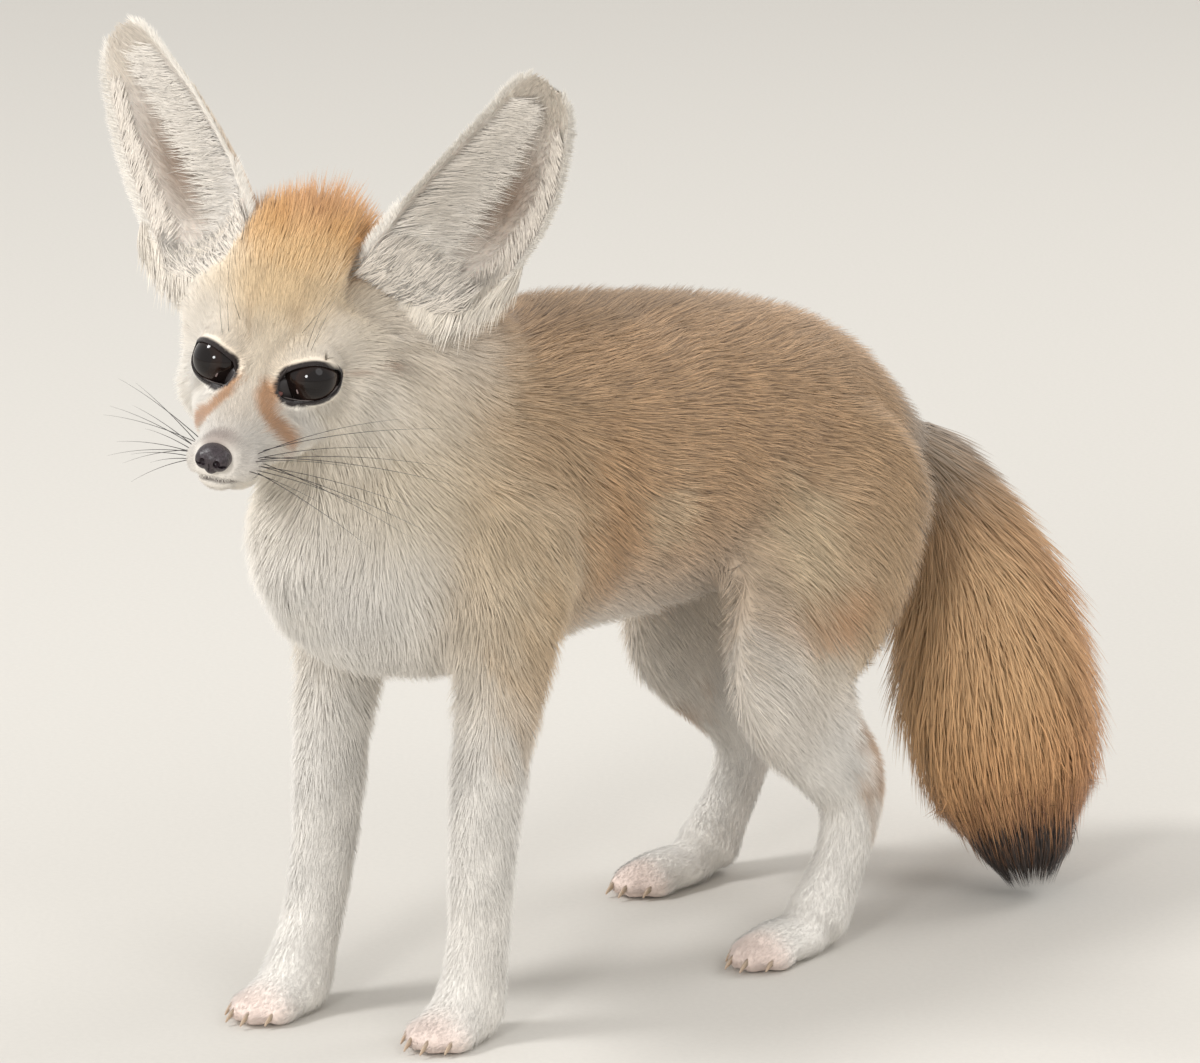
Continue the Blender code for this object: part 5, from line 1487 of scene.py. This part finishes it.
def grow(name, part, count, unwrap, evenness=0.6, clump=0.14, swirl=0.2, raised=0.0):
    """A piece of coat on the skin, raised by a share more on the crest of the crown."""
    roots, normals = roots_on(part, count, evenness)
    coat = coat_at(roots)
    lie, depth, length = coat[:, LIE], coat[:, DEPTH], coat[:, LENGTH]
    for eye_side in SIDES.values():
        gaze, _, _ = eye_axes(eye_side)
        away = roots - eye_centre(eye_side)
        away = unit(away - (away @ gaze)[:, None] * gaze)
        near = np.clip(1 - from_slit(roots, eye_side) / NEAR_EYE, 0, 1)[:, None]
        lie = lie * (1 - near) + away * near * AWAY_FROM_EYE
        length = length * (1 - SHORTER_BY_EYE * near[:, 0])
        depth = depth * (1 - FLATTER_BY_EYE * near[:, 0])
    by_lips = np.clip(1 - from_line(roots, mouth) / NEAR_LIPS, 0, 1)
    length = length * (1 - SHORTER_BY_LIPS * by_lips)
    depth = depth * (1 - FLATTER_BY_LIPS * by_lips)
    lie = unit(lie - normals * (lie * normals).sum(1, keepdims=True))
    side = np.cross(normals, lie)
    turned = swirl * noise(roots, SWIRL_SIZE, seed=3) + 0.5 * swirl * rand.normal(size=len(roots))
    lie = lie * np.cos(turned)[:, None] + side * np.sin(turned)[:, None]
    side = np.cross(normals, lie)
    length = length * rand.uniform(*LENGTHS, len(roots))
    height = depth * rand.uniform(*HEIGHTS, len(roots))
    height *= 1 + WAVE_HIGH * noise(roots, WAVE_SIZE, seed=4)
    height *= 1 + raised * np.exp(-(((in_head(roots) - CREST_AT) / CREST_SIZE) ** 2).sum(1))
    leaders = roots[::CLUMP_OF]
    clumps = KDTree(len(leaders))
    for i, leader in enumerate(leaders):
        clumps.insert(leader, i)
    clumps.balance()
    pull = np.array([clumps.find(Vector(p))[0] for p in roots]) - roots
    below, out = nearest(roots + lie * length[:, None] + pull * clump)
    ends = below + out * height[:, None] + normals * OFF_SKIN
    spines = np.stack([roots - normals * SINK, ends], axis=1)
    spines[..., 2] = np.maximum(spines[..., 2], OFF_FLOOR)
    widths = (WIDTH_LEAST + WIDTH_SHARE * length) * rand.uniform(*WIDTHS, len(roots))
    tints = painted(roots, coat[:, COLOUR])
    bands = coat[:, BANDING]
    coat_mesh(name, spines, normals, side, widths, tints, bands, unwrap(roots), RINGS_SHORT)


PEPPER_GREYS = ((0, 0.6), (0.25, 0.88), (0.5, 1.0), (0.8, 1.05), (1, 1.4))
BAND_GREYS = ((0, 0.7), (0.45, 0.8), (0.62, 1.0), (0.78, 1.0), (0.9, 0.55), (1, 0.45))
DARK_TIPPED = 0.7
# Guard hair is smooth keratin in dense overlapping tufts: soft and slightly glossy, with painted
# shade that darkens it towards the root, and on the back banded pale below a dark tip.
guard_hair, shader = new_material(
    "guard hair", Roughness=0.7, IOR=1.5, Sheen_Weight=0.3, Sheen_Roughness=0.5)
tint = node(guard_hair, "ShaderNodeAttribute", attribute_name="tint")
strand = node(guard_hair, "ShaderNodeAttribute", attribute_name="strand")
parts = node(guard_hair, "ShaderNodeSeparateXYZ", {"Vector": strand.outputs["Vector"]})
# Painted shade: each tuft is darker towards its root, deep in the coat.
depth_shade = node(guard_hair, "ShaderNodeMapRange", {
    "Value": parts.outputs["X"], "From Max": 0.6, "To Min": 0.86, "To Max": 1.0})
varied = node(guard_hair, "ShaderNodeMapRange", {
    "Value": parts.outputs["Y"], "To Min": 0.9, "To Max": 1.08})
plain = node(guard_hair, "ShaderNodeMath", {
    0: depth_shade.outputs["Result"], 1: varied.outputs["Result"]}, operation="MULTIPLY")
pepper = node(guard_hair, "ShaderNodeValToRGB", {"Fac": parts.outputs["Y"]}, stops=[
    (place, (grey, grey, grey)) for place, grey in PEPPER_GREYS])
peppered = node(guard_hair, "ShaderNodeMix", {
    "Factor": parts.outputs["Z"], "A": 1.0, "B": pepper.outputs["Color"]})
bands = node(guard_hair, "ShaderNodeValToRGB", {"Fac": parts.outputs["X"]}, stops=[
    (place, (grey, grey, grey)) for place, grey in BAND_GREYS])
dark_tipped = node(guard_hair, "ShaderNodeMath", {
    0: parts.outputs["Y"], 1: DARK_TIPPED}, operation="LESS_THAN")
banded = node(guard_hair, "ShaderNodeMath", {
    0: parts.outputs["Z"], 1: dark_tipped.outputs["Value"]}, operation="MULTIPLY")
tips = node(guard_hair, "ShaderNodeMix", {
    "Factor": banded.outputs["Value"], "A": 1.0, "B": bands.outputs["Color"]})
mixed = node(guard_hair, "ShaderNodeMath", {
    0: peppered.outputs["Result"], 1: tips.outputs["Result"]}, operation="MULTIPLY")
whole = node(guard_hair, "ShaderNodeMath", {
    0: plain.outputs["Value"], 1: mixed.outputs["Value"]}, operation="MULTIPLY")
colour = node(guard_hair, "ShaderNodeVectorMath", {
    0: tint.outputs["Color"], 1: whole.outputs["Value"]}, operation="MULTIPLY")
guard_hair.node_tree.links.new(colour.outputs["Vector"], shader.inputs["Base Color"])


grow("coat_face", "face", 46000, dome_unwrap, evenness=1.0, clump=0.2, swirl=0.16)
grow("coat_crown", "crown", 34000, dome_unwrap, raised=1.5)
grow("coat_neck", "neck", 38000, neck_unwrap)
for word in SIDES:
    grow(f"coat_flank_{word}", f"flank_{word}", 42000, flank_unwrap)
grow("coat_forelegs", "forelegs", 25000, lambda p: leg_unwrap(p, "foreleg"))
grow("coat_hindlegs", "hindlegs", 34000, lambda p: leg_unwrap(p, "hindleg"))

# Fur of the ears. Short and dense over both faces, a thick pale rim, long white hairs that sweep
# from the inner edge over the hollow, and a ruff that hangs from the foot of the outer edge. Each
# hair is rooted on the ear's own sheet, and all but those of the rim and the ruff follow it.
EAR_FUR = (
    ("back", 5400, 5.5, 0.5, 1.1, RINGS_SHORT),
    ("rim", 4200, 4.8, 0.4, 0.8, RINGS_SHORT),
    ("lining", 6000, 4.2, 0.42, 0.8, RINGS_SHORT),
    ("tract", 2800, 19, 0.32, 1.8, RINGS_LONG),
    ("outer_edge", 900, 9, 0.36, 1.5, RINGS_LONG),
    ("foot", 1400, 13, 0.42, 2.6, RINGS_LONG),
    ("ruff", 2100, 15, 0.36, 3.2, RINGS_LONG),
)
EAR_LIE = {
    "back": (0, 1),
    "lining": (0.15, 1),
    "tract": (0.9, 0.45),
    "outer_edge": (-0.7, 0.8),
    "foot": (0.2, 1),
}
LINING_SPREAD = 0.5
EAR_HAIR = {
    "tract": "#f7efe4",
    "outer_edge": "#efe5d8",
    "foot": "#efe5d8",
    "rim": "#f6efe4",
    "ruff": "#efe5d6",
}
EAR_HAIR_TONES = (0.88, 1.06)
EAR_DARK_HAIR = {"tract": 0.04, "foot": 0.25}
EAR_DARK_TONE = 0.5
EAR_AHEAD = 60
EAR_STEP = 0.01
EAR_SPAN = 1.3
EAR_TILT = 0.14
EAR_SINK = 0.25
EAR_ROUND = 6.0
EAR_LONG_LENGTHS = (0.65, 1.15)
EAR_LONG_TAPER = (1.15, 0.55)
EAR_SHORT_LENGTHS = (0.7, 1.15)
RIM_TIP_FROM = 0.9
RUFF_LINE = (0.16, 0.2, 0.06)
RUFF_HIGH = 0.1
RUFF_OUT = 0.27


def ear_frame(name, across, t, inside):
    """Points of the ear, with the ways across it, up it and out of it."""
    at = on_ear(name, across, t, inside)
    way = unit(on_ear(name, np.clip(across + EAR_STEP, -1, 1), t, inside)
               - on_ear(name, np.clip(across - EAR_STEP, -1, 1), t, inside))
    up = unit(on_ear(name, across, np.clip(t + EAR_STEP, 0, 1), inside)
              - on_ear(name, across, np.clip(t - EAR_STEP, 0, 1), inside))
    _, _, opening = ear_axes(name)
    out = unit(np.cross(way, up))
    centre = on_ear(name, np.zeros_like(t), t, False) + opening * EAR_AHEAD
    facing = np.sign((out * (centre - at)).sum(1, keepdims=True))
    return at, way, up, out * facing * (1 if inside else -1)


for name in EARS:
    for part, count, long, width, rise, shares in EAR_FUR:
        u, v = rand.random(count), rand.random(count)
        ruff_across = 1.12 * u - 0.12
        across, t = {
            "back": (2 * u - 1, 0.02 + 0.97 * v),
            "rim": (np.where(u < 0.5, -1, 1) * rand.uniform(0.92, 1, count), 0.03 + 0.97 * v**0.9),
            "lining": (1.96 * u - 0.98, 0.08 + 0.92 * v**0.85),
            "tract": (-0.9 + 0.66 * u**1.2, 0.05 + 0.84 * v),
            "outer_edge": (0.98 - 0.16 * u, 0.1 + 0.75 * v),
            "foot": (-0.9 + 1.7 * u, 0.01 + 0.09 * v),
            "ruff": (ruff_across, np.polyval(RUFF_LINE, ruff_across) - RUFF_HIGH * v**1.5),
        }[part]
        inside = part != "back"
        at, way, up, out = ear_frame(name, across, t, inside)
        length = long * rand.uniform(*EAR_LONG_LENGTHS, count)
        length *= EAR_LONG_TAPER[0] - EAR_LONG_TAPER[1] * t
        if part in ("back", "rim", "lining"):
            length = long * rand.uniform(*EAR_SHORT_LENGTHS, count)
        if part == "back":
            length = np.minimum(length, (1 - t) * EAR_LENGTH)
        tilt = rand.normal(size=count) * EAR_TILT
        levels = [share for share, _ in shares] + [1.0]
        if part == "rim":
            edge = np.sign(across)[:, None]
            tip = np.clip((t - RIM_TIP_FROM) / 0.1, 0, 1)[:, None]
            lie = way * edge * (0.8 - 0.3 * tip) + up * (0.6 + 0.4 * tip) + out * tilt[:, None]
            lie = unit(lie)
            spines = [at - lie * 0.5, at + lie * length[:, None] * 0.75 + out * rise]
            out = unit(way * edge * (1 - tip) + out)
        elif part == "ruff":
            axis, aside, opening = ear_axes(name)
            down = unit(-axis + aside * (RUFF_OUT + tilt[:, None]) + opening * 0.1)
            spines = [at + down * (length * share)[:, None] + opening * (rise * share * (2 - share))
                      for share in levels]
        else:
            ahead = np.tile(EAR_LIE[part], (count, 1)) * 1.0
            if part == "lining":
                ahead[:, 0] += across * LINING_SPREAD
            ahead = unit(ahead + np.column_stack([-ahead[:, 1], ahead[:, 0]]) * tilt[:, None])
            half = np.interp(t, *np.array(EAR_SHAPE).T[:2]) * EAR_SPAN
            spines = []
            for share in levels:
                run_across = np.clip(across + ahead[:, 0] * length * share / half, -1, 1)
                run_up = t + ahead[:, 1] * length * share / EAR_LENGTH
                point, _, steep, lifted = ear_frame(name, run_across, np.clip(run_up, 0, 1), inside)
                past = steep * (np.maximum(run_up - 1, 0) * EAR_LENGTH)[:, None]
                lift = rise * share * (2 - share) * rand.uniform(0.9, 1.1, count)
                lift = lift - EAR_SINK * (share == 0)
                spines.append(point + past + lifted * lift[:, None])
        spines = np.stack(spines, axis=1)
        side = unit(np.cross(out, spines[:, -1] - spines[:, 0]))
        tints = ear_colours(across, t, inside)
        if part in EAR_HAIR:
            tints = np.tile(linear(EAR_HAIR[part]), (count, 1))
        dark = rand.random((count, 1)) < EAR_DARK_HAIR.get(part, 0)
        tints = tints * rand.uniform(*EAR_HAIR_TONES, (count, 1)) * np.where(dark, EAR_DARK_TONE, 1)
        widths = width * rand.uniform(*WIDTHS, count)
        unwrap = np.column_stack([across / 2 + 0.5, t])
        bands = np.zeros(count)
        roundness = EAR_ROUND if part in ("back", "rim") else ROUNDNESS
        coat_mesh(f"{name}_fur_{part}", spines, out, side, widths, tints, bands, unwrap, shares,
                  roundness=roundness)

# Brush of the tail. Long coarse hair, paler at the middle, with a dark patch near the root and a
# black tip, and a darker rust on its side turned away from the key light, partly its own colour and
# partly painted shade. It is rooted on the tail's core and stands out to the width of the brush.
BRUSH_TUFTS = 9000
BRUSH_COVERS = 0.27
BRUSH_WIDTH = 0.7
BRUSH_SWING = 0.12
BRUSH_BLUNT = 0.84
BRUSH_RAGGED = 0.1
BRUSH_FLARE = 0.12
TIP_SHARE = 0.42
BRUSH_START = 0.04
BRUSH_SPAN = 0.84
BRUSH_REACHES = (0.7, 1.15)
BRUSH_OUTERS = (0.72, 1.0)
BRUSH_BANDING = 0.12
BRUSH_CLEAR = 0.3
TIP_END = 0.95
TIP_RAGGED = 0.07
TIP_OPENS = 0.88
TIP_OPENING = 0.6
# The side turned back and to the fox's left, away from the key light, gets rust with painted shade.
RUST_AND_SHADE_SIDE = unit(np.array([0.6, 0.8, 0.1]))
RUST_AND_SHADE_TONE = "#b87a49"
RUST_AND_SHADE_SHARE = 0.65
RUST_AND_SHADE_END = 0.86
GLAND_DARK = "#3a2c20"
GLAND_AT = 0.16
GLAND_REACH = 0.06
GLAND_SHARE = 0.85
GLAND_SIDE = unit(np.array([0, 1.0, 0.3]))
for number, (low, high) in enumerate(((0.0, 0.5), (0.5, 1.0)), start=1):
    count = BRUSH_TUFTS
    spread = (np.arange(count) + rand.random(count)) / count
    start = BRUSH_START + BRUSH_SPAN * (low + (high - low) * spread)
    angle = rand.uniform(0, 2 * math.pi, count)
    swing = rand.normal(size=count) * BRUSH_SWING
    reach = BRUSH_COVERS * rand.uniform(*BRUSH_REACHES, count) * np.clip(0.45 + start * 2, 0, 1)
    of_tip = rand.random(count) < TIP_SHARE
    ragged = rand.random(count) * np.where(of_tip, TIP_RAGGED, BRUSH_RAGGED)
    end = np.minimum(start + reach, np.where(of_tip, TIP_END, BRUSH_BLUNT) + ragged)
    outer = rand.uniform(*BRUSH_OUTERS, count) * (1 + 0.06 * np.sin(angle * 5 + start * 20))
    layer = rand.random(count) ** 0.5
    spines = []
    for share, _ in (*RINGS_LONG, (1.0, 0)):
        t = start + (end - start) * share
        centres, tangents, wide, high_axis, radii = tail_frame(t)
        core = radii * TAIL_CORE * 0.92
        rise = share ** 0.75 * outer * (0.55 + 0.45 * layer)
        far = core + (radii - core) * rise
        far *= 1 + BRUSH_FLARE * ~of_tip * share * np.exp(-(((t - BRUSH_BLUNT) / 0.08) ** 2))
        far *= 1 + TIP_OPENING * of_tip * np.clip((t - TIP_OPENS) / 0.12, 0, 1)
        turn = angle + swing * share
        out = wide * np.cos(turn)[:, None] + high_axis * np.sin(turn)[:, None]
        spines.append(centres + out * far[:, None])
    spines = np.stack(spines, axis=1)
    spines[..., 2] = np.maximum(spines[..., 2], BRUSH_CLEAR)
    _, tangents, wide, high_axis, _ = tail_frame(start)
    normals = wide * np.cos(angle)[:, None] + high_axis * np.sin(angle)[:, None]
    side = np.cross(normals, tangents)
    where = start * 0.35 + end * 0.65 + 0.015 * rand.normal(size=count)
    tints = tail_tones(where)
    # Rust on the side away from the key light, darker there as painted shade.
    rust_and_shade = np.clip(normals @ RUST_AND_SHADE_SIDE, 0, 1) ** 1.5 * RUST_AND_SHADE_SHARE * np.clip(where * 6 - 1.4, 0, 1)
    rust_and_shade = rust_and_shade * (where < RUST_AND_SHADE_END)
    tints += (linear(RUST_AND_SHADE_TONE) - tints) * rust_and_shade[:, None]
    behind = np.clip(normals @ GLAND_SIDE, 0, 1)
    gland = np.exp(-(((where - GLAND_AT) / GLAND_REACH) ** 2)) * behind**2 * GLAND_SHARE
    tints = tints * (1 - gland[:, None]) + linear(GLAND_DARK) * gland[:, None]
    tints = tints * rand.uniform(0.93, 1.06, (count, 1))
    widths = BRUSH_WIDTH * rand.uniform(0.7, 1.2, count)
    unwrap = np.column_stack([angle / (2 * math.pi), (start - BRUSH_START) / BRUSH_SPAN])
    bands = np.full(count, BRUSH_BANDING)
    coat_mesh(f"tail_brush_{number}", spines, normals, side, widths, tints, bands, unwrap,
              RINGS_LONG)

# Whiskers. Long stiff black hairs from the whisker pads, and a few finer ones over the eyes. Each
# is a slender tapered tube with a gentle bend, all joined as one piece.
WHISKER_ROOTS = (
    ((27, 11, -16), 46, 0.45),
    ((24, 11.5, -16.5), 56, 0.3),
    ((29, 10, -17.5), 40, 0.25),
    ((26, 11, -18.5), 54, 0.12),
    ((23, 11.5, -19), 58, 0.0),
    ((28, 10, -20), 44, -0.12),
    ((25, 11, -21), 52, -0.25),
    ((22, 11.5, -21.5), 46, -0.35),
    ((30, 9, -20.5), 34, -0.2),
    ((27, 10.5, -22.5), 38, -0.5),
    ((31, 8.5, -18.5), 28, 0.1),
    ((33, 7.5, -20), 22, -0.3),
)
BROW_HAIRS = (((-1, 12, 13), 26), ((0, 14, 12), 22), ((-3, 10, 14), 20))
WHISKER_THICK = 0.3
WHISKER_BEND = 0.34
WHISKER_TAPER = 0.88
WHISKER_SINK = 0.3
BROW_HAIR_SHARE = 0.5
FAR_SHORTER = 0.7
WHISKER_STEPS = 12
WHISKER_SIDES = 5
WHISKER_DARK = "#14100e"
WHISKER_PALE = "#2c2320"
WHISKER_GRAIN = 4
points, faces = [], []


def add_whisker(root, way, sag, long, thick):
    count = sum(len(p) for p in points)
    share = np.linspace(0, 1, WHISKER_STEPS + 1)
    spine = root + way * (long * share)[:, None] + sag * (long * WHISKER_BEND * share**2)[:, None]
    tangents = unit(np.gradient(spine, axis=0))
    wide = unit(np.cross(tangents, UP))
    high = np.cross(wide, tangents)
    turn = 2 * math.pi * np.arange(WHISKER_SIDES) / WHISKER_SIDES
    radius = thick / 2 * (1 - WHISKER_TAPER * share)
    ring = wide[:, None] * np.cos(turn)[:, None] + high[:, None] * np.sin(turn)[:, None]
    points.append((spine[:, None] + ring * radius[:, None, None]).reshape(-1, 3))
    faces.extend(tuple(v + count for v in f) for f in tube_faces(WHISKER_STEPS + 1, WHISKER_SIDES))


for side in SIDES.values():
    sag = unit(-FORWARD * 0.8 - UP * 0.7)
    for at, long, rise in WHISKER_ROOTS:
        near, out = nearest([on_head(np.array(at) * (1, side, 1))])
        way = unit(FORWARD * -0.3 + LEFT * side * 0.9 + UP * (rise + 0.1))
        long *= 1 if side > 0 else FAR_SHORTER
        add_whisker(near[0] - out[0] * WHISKER_SINK, way, sag, long, WHISKER_THICK)
    for at, long in BROW_HAIRS:
        near, out = nearest([on_head(np.array(at) * (1, side, 1))])
        way = unit(out[0] * 0.7 + UP * 0.6 - FORWARD * 0.3 + LEFT * side * 0.3)
        root = near[0] - out[0] * WHISKER_SINK
        add_whisker(root, way, unit(-FORWARD), long, WHISKER_THICK * BROW_HAIR_SHARE)
whiskers = new_object("whiskers", np.vstack(points), faces)
# Whiskers are dense black keratin, smooth enough to catch a thin line of light.
whisker_hair, shader = new_material("whisker", Roughness=0.35, IOR=1.55)
place = node(whisker_hair, "ShaderNodeTexCoord")
grain = node(whisker_hair, "ShaderNodeTexNoise", {
    "Vector": place.outputs["Object"], "Scale": 1 / (WHISKER_GRAIN * MM)})
tone = node(whisker_hair, "ShaderNodeValToRGB", {"Fac": grain.outputs["Fac"]},
            stops=((0.3, linear(WHISKER_DARK)), (0.7, linear(WHISKER_PALE))))
whisker_hair.node_tree.links.new(tone.outputs["Color"], shader.inputs["Base Color"])
whiskers.data.materials.append(whisker_hair)
whiskers.data.shade_smooth()
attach(whiskers, "root")

# Studio. A plain floor of matt pale paper, a large soft key light from the front right of the fox,
# three weaker lamps and a pale surround, and the camera at the photograph's angle.
FLOOR_SIZE = 12
FLOOR_PALE = "#cfcbc4"
FLOOR_GRAIN = 2
SURROUND = "#f1f0ee"
SURROUND_STRENGTH = 0.88
CAMERA_AZIMUTH = 44
CAMERA_ELEVATION = 13
CAMERA_AWAY = 2.0
CAMERA_TARGET = (-36, 0, 130)
CAMERA_LENS = 180
LIGHTS = (
    ("key", (-1.3, -1.9, 3.1), 0.9, 66),
    ("fill", (2.7, -0.2, 2.2), 1.8, 14),
    ("rim", (0.6, 2.2, 1.9), 1.2, 20),
    ("front", (0.85, -2.1, 0.95), 0.45, 16),
)
bpy.ops.mesh.primitive_plane_add(size=FLOOR_SIZE)
floor = bpy.context.object
floor.name = "studio_floor"
# Uncoated paper is matt, with a faint mottle of its fibres.
paper, shader = new_material("matt studio paper", Roughness=0.9)
place = node(paper, "ShaderNodeTexCoord")
grain = node(paper, "ShaderNodeTexNoise", {
    "Vector": place.outputs["Object"], "Scale": 1 / (FLOOR_GRAIN * MM)})
tone = node(paper, "ShaderNodeValToRGB", {"Fac": grain.outputs["Fac"]},
            stops=((0.3, linear(FLOOR_PALE) * 0.97), (0.7, linear(FLOOR_PALE))))
paper.node_tree.links.new(tone.outputs["Color"], shader.inputs["Base Color"])
floor.data.materials.append(paper)
target = Vector(CAMERA_TARGET) * MM + Vector(SHIFT) * MM
for name, place, size, power in LIGHTS:
    lamp = bpy.data.lights.new(name, "AREA")
    lamp.shape = "DISK"
    lamp.size = size
    lamp.energy = power
    light = bpy.data.objects.new(name, lamp)
    light.location = place
    light.rotation_euler = (target - Vector(place)).to_track_quat("-Z", "Y").to_euler()
    bpy.context.scene.collection.objects.link(light)
world = bpy.data.worlds.new("studio")
world.use_nodes = True
surround = world.node_tree.nodes["Background"]
surround.inputs["Color"].default_value = (*linear(SURROUND), 1)
surround.inputs["Strength"].default_value = SURROUND_STRENGTH
bpy.context.scene.world = world
bpy.context.scene.view_settings.view_transform = "Standard"
azimuth, elevation = math.radians(CAMERA_AZIMUTH), math.radians(CAMERA_ELEVATION)
away = Vector((math.sin(azimuth) * math.cos(elevation),
               -math.cos(azimuth) * math.cos(elevation),
               math.sin(elevation)))
lens = bpy.data.cameras.new("camera")
lens.lens = CAMERA_LENS
lens.clip_start = 0.05
camera = bpy.data.objects.new("camera", lens)
camera.location = target + away * CAMERA_AWAY
camera.rotation_euler = (-away).to_track_quat("-Z", "Y").to_euler()
bpy.context.scene.collection.objects.link(camera)
bpy.context.scene.camera = camera
